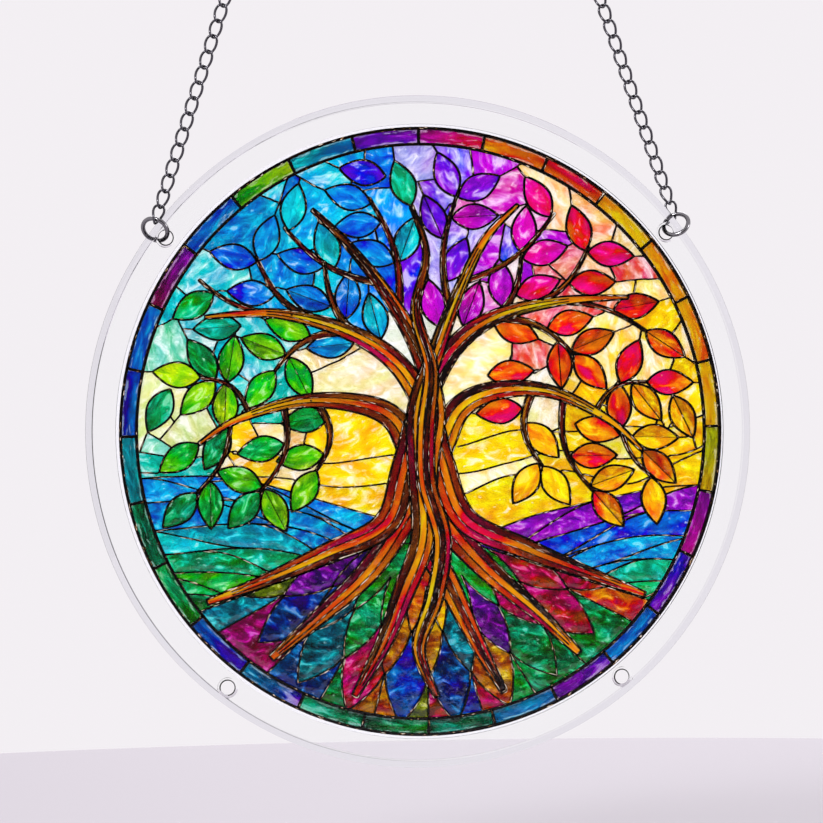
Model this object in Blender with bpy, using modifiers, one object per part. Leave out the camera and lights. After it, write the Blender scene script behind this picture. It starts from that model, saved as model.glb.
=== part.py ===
"""Acrylic suncatcher: a clear disc with a tree-of-life roundel, hung by two chains from one ring.

Metres. The disc stands in the XZ plane and faces -Y, with +Z up. The origin is the point inside the
hanging ring where a hook bears. The picture's own coordinates are shares of its radius, x right and y up
as seen from the front, with 0, 0 at the disc's centre.
"""

import math

import bmesh
import bpy
from mathutils import Matrix, Vector

# Clear disc
DISC_RADIUS = 0.100
DISC_THICKNESS = 0.0025
BEVEL_WIDTH = 0.0020
BEVEL_DEPTH = 0.0007
DISC_SIDES = 72

# Drilled and countersunk holes
BORE_RADIUS = 0.0021
SINK_RADIUS = 0.0030
HOLE_INSET = 0.0046
UPPER_HOLE_ANGLE = math.radians(52.2)
LOWER_HOLE_ANGLE = math.radians(38.5)
HOLE_SIDES = 12

# Roundel: the disc's clear margin round it, its own clear edge, and the border round the picture
ROUNDEL_MARGIN = 0.0087
CLEAR_EDGE = 0.0009
BORDER_WIDTH = 0.0056
ROUNDEL_THICKNESS = 0.0012
RING_LINE_WIDTH = 0.0010
BORDER_STRIPS = 28
SIDES_PER_STRIP = 2
BOND_GAP = 0.0003

# Heights of the raised work above the roundel's face
RING_LINE_HEIGHT = 0.00045
TWIG_HEIGHT = 0.00035
LEAF_HEIGHT = 0.00028
STRAND_HEIGHT = 0.00040
STRAND_STEP = 0.00003
RELIEF_ROOT = 0.0003

# Jump rings
JUMP_RING_RADIUS = 0.0045
JUMP_RING_WIRE = 0.0013
JUMP_RING_TURN = math.radians(45)
RING_SIDES = 16
RING_WIRE_SIDES = 6

# Curb chain
LINK_COUNT = 51
LINK_PITCH = 0.0048
LINK_WIDTH = 0.0040
END_TWIST = math.radians(45)
TURNING_LINKS = 3
CHAIN_WIRE = 0.00075
WIRE_GAP = 0.0003

# Hanging ring
HANG_RING_RADIUS = 0.0070
HANG_RING_WIRE = 0.0014
HANG_RING_SIDES = 16

# Strands of wood, each from a root tip through the trunk to a limb tip: x, y and half width
STRANDS = {
    "left_low": [
        (0.54, -0.79, 0.012), (0.39, -0.64, 0.026), (0.21, -0.48, 0.038), (0.06, -0.30, 0.046),
        (-0.04, -0.08, 0.045), (-0.11, 0.05, 0.040), (-0.25, 0.105, 0.031), (-0.45, 0.11, 0.021),
        (-0.66, 0.05, 0.012), (-0.79, -0.03, 0.006),
    ],
    "right_low": [
        (-0.55, -0.78, 0.012), (-0.38, -0.64, 0.027), (-0.20, -0.48, 0.039), (-0.07, -0.29, 0.046),
        (0.05, -0.07, 0.046), (0.13, 0.08, 0.040), (0.27, 0.14, 0.031), (0.46, 0.13, 0.021),
        (0.66, 0.03, 0.012), (0.78, -0.08, 0.006),
    ],
    "left_high": [
        (0.78, -0.59, 0.010), (0.58, -0.51, 0.021), (0.36, -0.42, 0.034), (0.14, -0.31, 0.042),
        (0.06, -0.10, 0.042), (0.01, 0.08, 0.040), (-0.10, 0.25, 0.033), (-0.28, 0.36, 0.025),
        (-0.52, 0.42, 0.015), (-0.76, 0.41, 0.006),
    ],
    "right_high": [
        (-0.77, -0.58, 0.010), (-0.57, -0.51, 0.021), (-0.35, -0.42, 0.034), (-0.14, -0.32, 0.042),
        (-0.07, -0.12, 0.042), (0.00, 0.10, 0.040), (0.11, 0.29, 0.033), (0.27, 0.40, 0.025),
        (0.50, 0.45, 0.015), (0.74, 0.46, 0.006),
    ],
    "left_top": [
        (0.27, -0.92, 0.011), (0.18, -0.75, 0.025), (0.09, -0.56, 0.036), (0.00, -0.36, 0.042),
        (0.01, -0.12, 0.040), (0.04, 0.08, 0.036), (-0.01, 0.28, 0.029), (-0.12, 0.48, 0.021),
        (-0.26, 0.66, 0.013), (-0.38, 0.78, 0.006),
    ],
    "right_top": [
        (-0.26, -0.92, 0.011), (-0.16, -0.75, 0.026), (-0.08, -0.56, 0.036), (-0.01, -0.37, 0.040),
        (-0.02, -0.12, 0.038), (-0.02, 0.08, 0.034), (0.05, 0.28, 0.028), (0.13, 0.48, 0.020),
        (0.23, 0.67, 0.013), (0.35, 0.79, 0.006),
    ],
    "centre": [
        (0.03, -0.93, 0.010), (-0.03, -0.76, 0.022), (0.03, -0.58, 0.029), (0.06, -0.38, 0.030),
        (0.01, -0.18, 0.030), (0.01, 0.02, 0.030), (0.03, 0.22, 0.024), (-0.02, 0.42, 0.017),
        (0.02, 0.62, 0.011), (-0.03, 0.79, 0.006),
    ],
}

# Twigs: the strand that each leaves, its place along the strand, its tip and how far it bows
TWIGS = [
    ("left_low", 0.74, (-0.38, -0.13), 0.05),
    ("left_low", 0.80, (-0.58, -0.20), 0.05),
    ("left_low", 0.86, (-0.78, 0.20), -0.04),
    ("left_low", 0.90, (-0.80, -0.20), 0.03),
    ("left_high", 0.70, (-0.34, 0.60), 0.06),
    ("left_high", 0.77, (-0.52, 0.22), -0.04),
    ("left_high", 0.80, (-0.58, 0.62), 0.05),
    ("left_high", 0.88, (-0.78, 0.54), 0.03),
    ("left_top", 0.74, (-0.18, 0.82), -0.04),
    ("left_top", 0.80, (-0.48, 0.72), 0.04),
    ("right_low", 0.74, (0.42, -0.13), -0.05),
    ("right_low", 0.80, (0.60, -0.22), -0.05),
    ("right_low", 0.86, (0.80, 0.16), 0.04),
    ("right_low", 0.92, (0.82, -0.18), -0.02),
    ("right_high", 0.71, (0.36, 0.62), -0.06),
    ("right_high", 0.77, (0.54, 0.26), 0.04),
    ("right_high", 0.81, (0.60, 0.64), -0.05),
    ("right_high", 0.88, (0.80, 0.34), 0.03),
    ("right_top", 0.74, (0.14, 0.84), 0.04),
    ("right_top", 0.80, (0.48, 0.76), -0.04),
]
TWIG_TIP = 0.004
TWIG_ROOT_SHARE = 0.55

# Leaves
LEAF_LENGTH = 0.168
LEAF_HALF_WIDTH = 0.044
LEAF_GAP = 0.002
LEAF_LAP = 0.018
LEAF_BLUNTNESS = 0.85
LEAF_WIDE_AT_BASE = 1.16
LEAF_TAPER = 0.32
LEAF_ANGLES = (0.75, 0.95, 0.55, 1.2)
TWIG_LEAF_PLACES = (0.95, 0.78, 0.60, 0.42, 0.25)
LIMB_LEAF_PLACES = (0.985, 0.95, 0.91, 0.87, 0.83, 0.79, 0.75, 0.71, 0.67)
CANOPY_EDGE = 0.985

# The leaf's room, as places along it and widths there
LEAF_ROOM = (
    (0.10, 0.25),
    (0.22, 0.60),
    (0.36, 0.90),
    (0.50, 1.00),
    (0.64, 0.90),
    (0.78, 0.62),
    (0.92, 0.25),
)

# Rows of further leaves that fill the canopy's gaps, from its edge inwards
FILL_ROWS = 16
FILL_REACH = 0.90
FILL_ROW_STEP = 0.04
FILL_DENSITY = 130
FILL_FROM = math.radians(-8)
FILL_SWEEP = math.radians(196)
FILL_TILTS = (0.0, 0.3, -0.3, 0.6, -0.6, 0.9, -0.9, 1.25, -1.25, 1.6, -1.6)

# Gaps between the limbs that stay free of leaves: centre x and y, half width and half height
OPENINGS = [
    (-0.27, 0.23, 0.13, 0.07),
    (0.30, 0.27, 0.14, 0.07),
    (-0.22, -0.06, 0.13, 0.10),
    (0.26, -0.04, 0.13, 0.10),
]

# Steps between the points of an outline, coarse for the solids and fine for placing the leaves
STRAND_STEPS = 2
TWIG_STEPS = 3
LEAF_STEPS = 3
FINE_STRAND_STEPS = 10
FINE_TWIG_STEPS = 8

# The chains' lean is found by going round this often from this first guess
FIRST_LEAN = math.radians(18)
LEAN_ROUNDS = 20


def between(a, b, c, d, t):
    """The Catmull-Rom value a share of the way from b to c."""
    slope = c - a
    bend = 2 * a - 5 * b + 4 * c - d
    twist = 3 * b - a - 3 * c + d
    return b + (slope * t + bend * t**2 + twist * t**3) / 2


def smooth(points, steps):
    """A curve through the points, with steps between each two."""
    ends = [points[0]] + list(points) + [points[-1]]
    path = []
    for i in range(1, len(ends) - 2):
        for k in range(steps):
            path.append(tuple(between(*values, k / steps) for values in zip(*ends[i - 1 : i + 3])))
    path.append(tuple(points[-1]))
    return path


def point_at(path, share):
    """The point that is a share of the way along a path's list of points."""
    place = share * (len(path) - 1)
    i = min(int(place), len(path) - 2)
    return tuple(a + (b - a) * (place - i) for a, b in zip(path[i], path[i + 1]))


def heading(path, share, span=0.02):
    """The direction of a path there, as an angle from +x."""
    a = point_at(path, max(0, share - span))
    b = point_at(path, min(1, share + span))
    return math.atan2(b[1] - a[1], b[0] - a[0])


def twig_path(start, tip, bow, steps):
    """A bowed line from a strand to the twig's tip, which narrows as it goes."""
    dx, dy = tip[0] - start[0], tip[1] - start[1]
    length = math.hypot(dx, dy)
    path = []
    for k in range(steps + 1):
        t = k / steps
        lift = bow * math.sin(math.pi * t) / length
        half = start[2] * TWIG_ROOT_SHARE * (1 - t) + TWIG_TIP * t
        path.append((start[0] + dx * t - dy * lift, start[1] + dy * t + dx * lift, half))
    return path


def ribbon_outline(path):
    """The outline of a path that is widened by its half widths."""
    left, right = [], []
    for i, (x, y, half) in enumerate(path):
        a = path[max(0, i - 1)]
        b = path[min(len(path) - 1, i + 1)]
        turn = math.atan2(b[1] - a[1], b[0] - a[0])
        left.append((x - math.sin(turn) * half, y + math.cos(turn) * half))
        right.append((x + math.sin(turn) * half, y - math.cos(turn) * half))
    return left + right[::-1]


def leaf_outline(base, turn):
    """A leaf with a point at each end, widest just before its middle."""
    side = []
    for k in range(LEAF_STEPS + 1):
        t = k / LEAF_STEPS
        swell = math.sin(math.pi * t) ** LEAF_BLUNTNESS * (LEAF_WIDE_AT_BASE - LEAF_TAPER * t)
        side.append((t * LEAF_LENGTH, LEAF_HALF_WIDTH * swell))
    outline = side + [(u, -w) for u, w in side[-2:0:-1]]
    c, s = math.cos(turn), math.sin(turn)
    return [(base[0] + u * c - w * s, base[1] + u * s + w * c) for u, w in outline]


def leaf_room(base, turn):
    """Discs down a leaf's middle, which stand for it where its room is tested."""
    c, s = math.cos(turn), math.sin(turn)
    return [
        (base[0] + c * LEAF_LENGTH * along, base[1] + s * LEAF_LENGTH * along, LEAF_HALF_WIDTH * wide)
        for along, wide in LEAF_ROOM
    ]


def has_room(discs, taken, wood):
    """True if a leaf is inside the canopy and clear of the other leaves, the wood and the openings."""
    for x, y, r in discs:
        if math.hypot(x, y) + r > CANOPY_EDGE:
            return False
        if any(math.hypot(x - u, y - v) < r + q + LEAF_GAP for u, v, q in taken):
            return False
        if any(((x - a) / b) ** 2 + ((y - c) / d) ** 2 < 1 for a, c, b, d in OPENINGS):
            return False
    return not any(math.hypot(x - u, y - v) < r + q - LEAF_LAP for x, y, r in discs[1:] for u, v, q in wood)


def grow_tree():
    """The leaves, as base points and directions: at the tips, in pairs down each branch, then in the gaps."""
    fine = {name: smooth(points, FINE_STRAND_STEPS) for name, points in STRANDS.items()}
    twigs = []
    for name, place, tip, bow in TWIGS:
        twigs.append(twig_path(point_at(fine[name], place), tip, bow, FINE_TWIG_STEPS))
    wood = [point for path in list(fine.values()) + twigs for point in path]
    taken, leaves = [], []

    def grow_leaf(base, turn):
        discs = leaf_room(base, turn)
        if not has_room(discs, taken, wood):
            return False
        taken.extend(discs)
        leaves.append((base, turn))
        return True

    for path in twigs + list(fine.values()):
        grow_leaf(path[-1][:2], heading(path, 1.0))
    for paths, places in ((twigs, TWIG_LEAF_PLACES), (fine.values(), LIMB_LEAF_PLACES)):
        for path in paths:
            for place in places:
                x, y, half = point_at(path, place)
                turn = heading(path, place)
                for side in (1, -1):
                    base = (x - math.sin(turn) * half * side, y + math.cos(turn) * half * side)
                    any(grow_leaf(base, turn + side * angle) for angle in LEAF_ANGLES)
    for row in range(FILL_ROWS):
        reach = FILL_REACH - FILL_ROW_STEP * row
        count = round(reach * FILL_DENSITY)
        for place in range(count):
            turn = FILL_FROM + FILL_SWEEP * (place + 0.5 * (row % 2)) / count
            base = (reach * math.cos(turn), reach * math.sin(turn))
            any(grow_leaf(base, turn + tilt) for tilt in FILL_TILTS)
    return leaves


def clear_scene():
    for ob in list(bpy.data.objects):
        bpy.data.objects.remove(ob, do_unlink=True)


def collection(name):
    made = bpy.data.collections.new(name)
    bpy.context.scene.collection.children.link(made)
    return made


def material(name, colour, roughness, metallic=0.0, alpha=1.0, transmission=0.0):
    made = bpy.data.materials.new(name)
    made.use_nodes = True
    shader = made.node_tree.nodes["Principled BSDF"]
    shader.inputs["Base Color"].default_value = (*colour, 1.0)
    shader.inputs["Roughness"].default_value = roughness
    shader.inputs["Metallic"].default_value = metallic
    shader.inputs["Alpha"].default_value = alpha
    shader.inputs["Transmission Weight"].default_value = transmission
    return made


def add_object(name, mesh, home, finish=None):
    ob = bpy.data.objects.new(name, mesh)
    home.objects.link(ob)
    if finish:
        ob.data.materials.clear()
        ob.data.materials.append(finish)
    return ob


def hide_guide(ob):
    ob.hide_render = True
    ob.display_type = "WIRE"
    return ob


def mesh_of(ob, name):
    """A welded mesh of what an object shows, in the world's place."""
    bpy.context.view_layer.update()
    shown = ob.evaluated_get(bpy.context.evaluated_depsgraph_get())
    mesh = bpy.data.meshes.new_from_object(shown)
    mesh.name = name
    mesh.transform(ob.matrix_world)
    bm = bmesh.new()
    bm.from_mesh(mesh)
    bmesh.ops.remove_doubles(bm, verts=bm.verts, dist=1e-6)
    bmesh.ops.recalc_face_normals(bm, faces=bm.faces)
    bm.to_mesh(mesh)
    bm.free()
    return mesh


def facing_front():
    """Turns a shape that lies in XY, with +Z out of its face, to stand in XZ and face -Y."""
    return Matrix.Rotation(math.radians(90), 4, "X")


def turned(name, profile, sides, home):
    """A turned solid round Z from a profile of radius and height, listed top to bottom."""
    mesh = bpy.data.meshes.new(name)
    points = [(radius, 0, height) for radius, height in profile]
    mesh.from_pydata(points, [(i, i + 1) for i in range(len(points) - 1)], [])
    ob = add_object(name, mesh, home)
    screw = ob.modifiers.new("Turn", "SCREW")
    screw.steps = sides
    screw.render_steps = sides
    screw.use_merge_vertices = True
    screw.merge_threshold = 1e-5
    return ob


def prism(name, outlines, low, high, home):
    """A solid with flat outlines, standing on the roundel's face between two heights."""
    curve = bpy.data.curves.new(name, "CURVE")
    curve.dimensions = "2D"
    curve.fill_mode = "BOTH"
    curve.extrude = (high - low) / 2
    for outline in outlines:
        spline = curve.splines.new("POLY")
        spline.points.add(len(outline) - 1)
        for point, (x, y) in zip(spline.points, outline):
            point.co = (x, y, 0, 1)
        spline.use_cyclic_u = True
    drawn = add_object(name + "_outline", curve, home)
    drawn.matrix_world = Matrix.Translation((0, 0, (high + low) / 2))
    mesh = mesh_of(drawn, name)
    bpy.data.objects.remove(drawn, do_unlink=True)
    return hide_guide(add_object(name, mesh, home))


def boolean(ob, operation, cutter):
    cut = ob.modifiers.new(cutter.name, "BOOLEAN")
    cut.operation = operation
    cut.object = cutter
    return cut


def circle(radius, sides):
    turns = [2 * math.pi * k / sides for k in range(sides)]
    return [(radius * math.cos(turn), radius * math.sin(turn)) for turn in turns]


def upper_direction(side):
    """The direction from the disc's centre to an upper hole, side -1 being the left one."""
    return Vector((side * math.sin(UPPER_HOLE_ANGLE), 0, math.cos(UPPER_HOLE_ANGLE)))


def lower_direction(side):
    return Vector((side * math.sin(LOWER_HOLE_ANGLE), 0, -math.cos(LOWER_HOLE_ANGLE)))


# Worked out from the sizes above
ROUNDEL_RADIUS = DISC_RADIUS - ROUNDEL_MARGIN
BORDER_RADIUS = ROUNDEL_RADIUS - CLEAR_EDGE
PICTURE_RADIUS = BORDER_RADIUS - BORDER_WIDTH
HOLE_RADIUS = DISC_RADIUS - HOLE_INSET
JUMP_LOOP = JUMP_RING_RADIUS - JUMP_RING_WIRE / 2
HANG_LOOP = HANG_RING_RADIUS - HANG_RING_WIRE / 2
LINK_HALF_LENGTH = (LINK_PITCH + CHAIN_WIRE) / 2
LINK_HALF_WIDTH = (LINK_WIDTH - CHAIN_WIRE) / 2
HANG_CENTRE = Vector((0, 0, HANG_RING_WIRE / 2 - HANG_LOOP))
ROUNDEL_BACK = DISC_THICKNESS / 2 + BOND_GAP


def scaled(outline):
    """A picture outline in metres."""
    return [(x * PICTURE_RADIUS, y * PICTURE_RADIUS) for x, y in outline]


def jump_ring_axes(side):
    """A jump ring's radial direction, its direction across that in its own plane, and its axis."""
    radial = upper_direction(side)
    along_rim = Vector((-side * math.cos(UPPER_HOLE_ANGLE), 0, math.sin(UPPER_HOLE_ANGLE)))
    across = along_rim * math.cos(JUMP_RING_TURN) + Vector((0, side, 0)) * math.sin(JUMP_RING_TURN)
    return radial, across, radial.cross(across)


def pull_on_ring(side, lean):
    """Where a leaning chain bears on its jump ring, from the disc's centre, and the wire's direction."""
    radial, across, axis = jump_ring_axes(side)
    pull = Vector((-side * math.sin(lean), 0, math.cos(lean)))
    outward = (radial * pull.dot(radial) + across * pull.dot(across)).normalized()
    return radial * (HOLE_RADIUS + JUMP_LOOP) + outward * JUMP_LOOP, axis.cross(outward)


def leg_length():
    """From the middle of the jump ring's wire to the middle of the hanging ring's wire."""
    lower = (JUMP_RING_WIRE + CHAIN_WIRE) / 2 + WIRE_GAP
    upper = (HANG_RING_WIRE + CHAIN_WIRE) / 2 + WIRE_GAP
    return (LINK_COUNT - 1) * LINK_PITCH + 2 * LINK_HALF_LENGTH - lower - upper


def settle_lean():
    """The chains' lean and how far the disc's centre hangs below the origin.

    The lean sets where a chain bears on its jump ring, and that point sets the lean, so both settle together.
    """
    lean = FIRST_LEAN
    for _ in range(LEAN_ROUNDS):
        point = pull_on_ring(1, lean)[0]
        flat_length = math.sqrt(leg_length() ** 2 - point.y**2)
        lean = math.asin(point.x / (flat_length + HANG_LOOP))
    return lean, (flat_length + HANG_LOOP) * math.cos(lean) + point.z - HANG_CENTRE.z


LEAN, DISC_DROP = settle_lean()
DISC_CENTRE = Vector((0, 0, -DISC_DROP))


def make_disc(home, cutters, finish):
    """The clear disc, bevelled front and back, with four countersunk holes."""
    half = DISC_THICKNESS / 2
    flat = DISC_RADIUS - BEVEL_WIDTH
    profile = [
        (0, half),
        (flat, half),
        (DISC_RADIUS, half - BEVEL_DEPTH),
        (DISC_RADIUS, BEVEL_DEPTH - half),
        (flat, -half),
        (0, -half),
    ]
    disc = turned("acrylic_disc", profile, DISC_SIDES, home)
    disc.data.materials.append(finish)
    disc.matrix_world = Matrix.Translation(DISC_CENTRE) @ facing_front()
    sink = SINK_RADIUS - BORE_RADIUS
    over = half + sink
    cutter_profile = [
        (0, over),
        (SINK_RADIUS + sink, over),
        (BORE_RADIUS, half - sink),
        (BORE_RADIUS, sink - half),
        (SINK_RADIUS + sink, -over),
        (0, -over),
    ]
    places = [upper_direction(side) for side in (-1, 1)] + [lower_direction(side) for side in (-1, 1)]
    for number, direction in enumerate(places):
        cutter = hide_guide(turned(f"hole_cutter_{number}", cutter_profile, HOLE_SIDES, cutters))
        cutter.matrix_world = Matrix.Translation(DISC_CENTRE + direction * HOLE_RADIUS) @ facing_front()
        boolean(disc, "DIFFERENCE", cutter)


def make_roundel(home, cutters, finish):
    """The coloured sheet with its raised tree, leaves and border, as one solid."""
    sides = BORDER_STRIPS * SIDES_PER_STRIP
    relief = collection("Relief")
    root = ROUNDEL_THICKNESS - RELIEF_ROOT

    def raise_outlines(name, outlines, height):
        prism(name, outlines, root, ROUNDEL_THICKNESS + height, relief)

    rings = [circle(PICTURE_RADIUS + RING_LINE_WIDTH, sides), circle(PICTURE_RADIUS, sides)]
    raise_outlines("picture_line", rings, RING_LINE_HEIGHT)
    bar_low = PICTURE_RADIUS + RING_LINE_WIDTH / 2
    bar_high = BORDER_RADIUS
    bars = []
    for k in range(BORDER_STRIPS):
        turn = 2 * math.pi * k / BORDER_STRIPS + math.pi / 2
        out = Vector((math.cos(turn), math.sin(turn)))
        aside = Vector((-out.y, out.x)) * RING_LINE_WIDTH / 2
        corners = [(bar_low, aside), (bar_low, -aside), (bar_high, -aside), (bar_high, aside)]
        bars.append([tuple(out * reach + step) for reach, step in corners])
    raise_outlines("border_bars", bars, RING_LINE_HEIGHT - STRAND_STEP)
    for number, (name, points) in enumerate(STRANDS.items()):
        outline = scaled(ribbon_outline(smooth(points, STRAND_STEPS)))
        raise_outlines("strand_" + name, [outline], STRAND_HEIGHT + STRAND_STEP * number)
    for number, (name, place, tip, bow) in enumerate(TWIGS):
        start = point_at(smooth(STRANDS[name], FINE_STRAND_STEPS), place)
        outline = scaled(ribbon_outline(twig_path(start, tip, bow, TWIG_STEPS)))
        raise_outlines(f"twig_{number}", [outline], TWIG_HEIGHT)
    leaves = [scaled(leaf_outline(base, turn)) for base, turn in grow_tree()]
    raise_outlines("leaves", leaves, LEAF_HEIGHT)

    sheet = turned(
        "picture_roundel",
        [(0, ROUNDEL_THICKNESS), (ROUNDEL_RADIUS, ROUNDEL_THICKNESS), (ROUNDEL_RADIUS, 0), (0, 0)],
        sides,
        home,
    )
    sheet.data.materials.append(finish)
    join = sheet.modifiers.new("Relief", "BOOLEAN")
    join.operation = "UNION"
    join.operand_type = "COLLECTION"
    join.collection = relief
    mesh = mesh_of(sheet, "picture_roundel")
    sheet.modifiers.clear()
    sheet.data = mesh
    sheet.matrix_world = Matrix.Translation(DISC_CENTRE - Vector((0, ROUNDEL_BACK, 0))) @ facing_front()
    for ob in list(relief.objects):
        bpy.data.objects.remove(ob, do_unlink=True)
    bpy.data.collections.remove(relief)


def make_ring(name, centre, across, up, loop, wire, sides, home, finish):
    """A round wire ring in the plane of two directions."""
    bpy.ops.mesh.primitive_torus_add(
        major_radius=loop, minor_radius=wire / 2, major_segments=sides, minor_segments=RING_WIRE_SIDES
    )
    ring = bpy.context.object
    ring.name = name
    ring.data.name = name
    for owner in list(ring.users_collection):
        owner.objects.unlink(ring)
    home.objects.link(ring)
    turn = Matrix((across, up, across.cross(up))).transposed().to_4x4()
    ring.matrix_world = Matrix.Translation(centre) @ turn
    ring.data.materials.append(finish)
    ring.data.shade_smooth()


def link_mesh(cutters):
    """One twisted oval link along X, its ends turned END_TWIST either way so that links hook each other."""
    turns = [math.radians(30 + 60 * k) for k in range(6)]
    half_length = LINK_HALF_LENGTH / math.cos(turns[0])
    twist = LINK_HALF_WIDTH / math.sqrt(3) * math.tan(END_TWIST)
    triangle = bpy.data.curves.new("wire_section", "CURVE")
    triangle.dimensions = "2D"
    section = triangle.splines.new("POLY")
    section.points.add(2)
    # A three-sided section with the round wire's area, its flat towards the outside of the link
    reach = CHAIN_WIRE / 2 * math.sqrt(4 * math.pi / (3 * math.sqrt(3)))
    for point, (x, y) in zip(section.points, circle(reach, 3)):
        point.co = (-x, -y, 0, 1)
    section.use_cyclic_u = True
    guide = hide_guide(add_object("wire_section", triangle, cutters))
    path = bpy.data.curves.new("link", "CURVE")
    path.dimensions = "3D"
    path.twist_mode = "MINIMUM"
    path.bevel_mode = "OBJECT"
    path.bevel_object = guide
    spline = path.splines.new("POLY")
    spline.points.add(len(turns) - 1)
    for point, turn in zip(spline.points, turns):
        x = half_length * math.cos(turn)
        y = LINK_HALF_WIDTH * math.sin(turn)
        z = -twist * math.sin(2 * turn)
        point.co = (x, y, z, 1)
    spline.use_cyclic_u = True
    wire = add_object("link", path, cutters)
    mesh = mesh_of(wire, "link")
    bpy.data.objects.remove(wire, do_unlink=True)
    return mesh


def half_turn(angle):
    """The same line's angle, between -90 and 90 degrees."""
    return (angle + math.pi / 2) % math.pi - math.pi / 2


def link_turn(number, lower, upper):
    """How far a link is turned round the chain's line. The last few at each end turn to cross their ring."""
    from_top = LINK_COUNT - 1 - number
    if number < TURNING_LINKS:
        return lower * (1 - number / TURNING_LINKS)
    if from_top < TURNING_LINKS:
        return upper * (1 - from_top / TURNING_LINKS)
    return 0.0


def make_chain(name, side, link, home, cutters, finish):
    """A leg of curb chain, fused where its links bear on each other."""
    pull, ring_wire = pull_on_ring(side, LEAN)
    low = DISC_CENTRE + pull
    high = HANG_CENTRE - Vector((-side * math.sin(LEAN), 0, math.cos(LEAN))) * HANG_LOOP
    along = (high - low).normalized()
    lateral = Vector((0, side, 0)).cross(along).normalized()
    normal = along.cross(lateral)
    frame = Matrix((along, lateral, normal)).transposed().to_4x4()
    ring_turn = math.atan2(ring_wire.dot(normal), ring_wire.dot(lateral))
    lower = half_turn(ring_turn + math.pi / 2 - END_TWIST)
    upper = half_turn(math.pi / 2 + END_TWIST)
    first = LINK_HALF_LENGTH - (JUMP_RING_WIRE + CHAIN_WIRE) / 2 - WIRE_GAP
    halves = []
    for parity in (0, 1):
        bm = bmesh.new()
        for number in range(parity, LINK_COUNT, 2):
            middle = low + along * (first + number * LINK_PITCH)
            turn = Matrix.Rotation(link_turn(number, lower, upper), 4, "X")
            piece = link.copy()
            piece.transform(Matrix.Translation(middle) @ frame @ turn)
            bm.from_mesh(piece)
            bpy.data.meshes.remove(piece)
        mesh = bpy.data.meshes.new(name)
        bm.to_mesh(mesh)
        bm.free()
        halves.append(mesh)
    chain = add_object(name, halves[0], home, finish)
    others = hide_guide(add_object(name + "_other_links", halves[1], cutters))
    boolean(chain, "UNION", others)


def main():
    clear_scene()
    home = collection("Acrylic suncatcher")
    cutters = collection("Cutters")
    acrylic = material("Clear acrylic", (0.95, 0.97, 0.98), 0.05, alpha=0.35, transmission=0.9)
    stained = material("Stained glass colours", (0.20, 0.45, 0.40), 0.25)
    make_disc(home, cutters, acrylic)
    make_roundel(home, cutters, stained)
    link = link_mesh(cutters)
    for name, side in (("left", -1), ("right", 1)):
        radial, across, _ = jump_ring_axes(side)
        centre = DISC_CENTRE + radial * (HOLE_RADIUS + JUMP_LOOP)
        steel = material(f"Jump ring steel {name}", (0.55, 0.55, 0.57), 0.2, metallic=1.0)
        make_ring(
            f"jump_ring_{name}", centre, radial, across, JUMP_LOOP, JUMP_RING_WIRE, RING_SIDES, home, steel
        )
        chain_steel = material(f"Chain steel {name}", (0.45, 0.45, 0.47), 0.25, metallic=1.0)
        make_chain(f"chain_{name}", side, link, home, cutters, chain_steel)
    ring_steel = material("Hanging ring steel", (0.55, 0.55, 0.57), 0.2, metallic=1.0)
    make_ring(
        "hanging_ring",
        HANG_CENTRE,
        Vector((1, 0, 0)),
        Vector((0, 0, 1)),
        HANG_LOOP,
        HANG_RING_WIRE,
        HANG_RING_SIDES,
        home,
        ring_steel,
    )


main()
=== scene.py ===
"""Looks of the acrylic suncatcher: a clear disc with a stained tree roundel, hung by two chains from a ring.

Metres, in the frame's own axes: the disc stands in the XZ plane and faces -Y. The picture is laid out flat
first, x right, y up and z out of its face, in shares of the picture's radius where it says shares.
"""

import math
import random

import bmesh
import bpy
import numpy as np
from mathutils import Matrix, Vector, kdtree, noise
from mathutils.geometry import delaunay_2d_cdt


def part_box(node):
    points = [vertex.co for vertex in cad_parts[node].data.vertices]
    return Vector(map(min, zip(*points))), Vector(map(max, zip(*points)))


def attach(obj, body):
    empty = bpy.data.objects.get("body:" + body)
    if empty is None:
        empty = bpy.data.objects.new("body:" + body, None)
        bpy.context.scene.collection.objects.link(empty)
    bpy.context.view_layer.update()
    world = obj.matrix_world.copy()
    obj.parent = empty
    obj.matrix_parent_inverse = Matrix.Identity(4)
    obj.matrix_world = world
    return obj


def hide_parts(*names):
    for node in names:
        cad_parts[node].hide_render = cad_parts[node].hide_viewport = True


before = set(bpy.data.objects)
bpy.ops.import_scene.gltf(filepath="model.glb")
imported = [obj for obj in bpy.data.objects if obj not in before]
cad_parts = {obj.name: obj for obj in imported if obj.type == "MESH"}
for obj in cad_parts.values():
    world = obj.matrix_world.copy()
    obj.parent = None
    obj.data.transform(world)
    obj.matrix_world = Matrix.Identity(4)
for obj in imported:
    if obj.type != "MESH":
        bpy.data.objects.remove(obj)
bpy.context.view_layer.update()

MM = 0.001
SEED = 11

# Sizes read from the frame
DISC_LOW, DISC_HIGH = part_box("acrylic_disc")
SHEET_LOW, SHEET_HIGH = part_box("picture_roundel")
DISC_CENTRE = (DISC_LOW + DISC_HIGH) / 2
DISC_RADIUS = (DISC_HIGH.x - DISC_LOW.x) / 2
DISC_THICKNESS = DISC_HIGH.y - DISC_LOW.y
SHEET_RADIUS = (SHEET_HIGH.z - SHEET_LOW.z) / 2
SHEET_BACK = SHEET_HIGH.y

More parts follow.
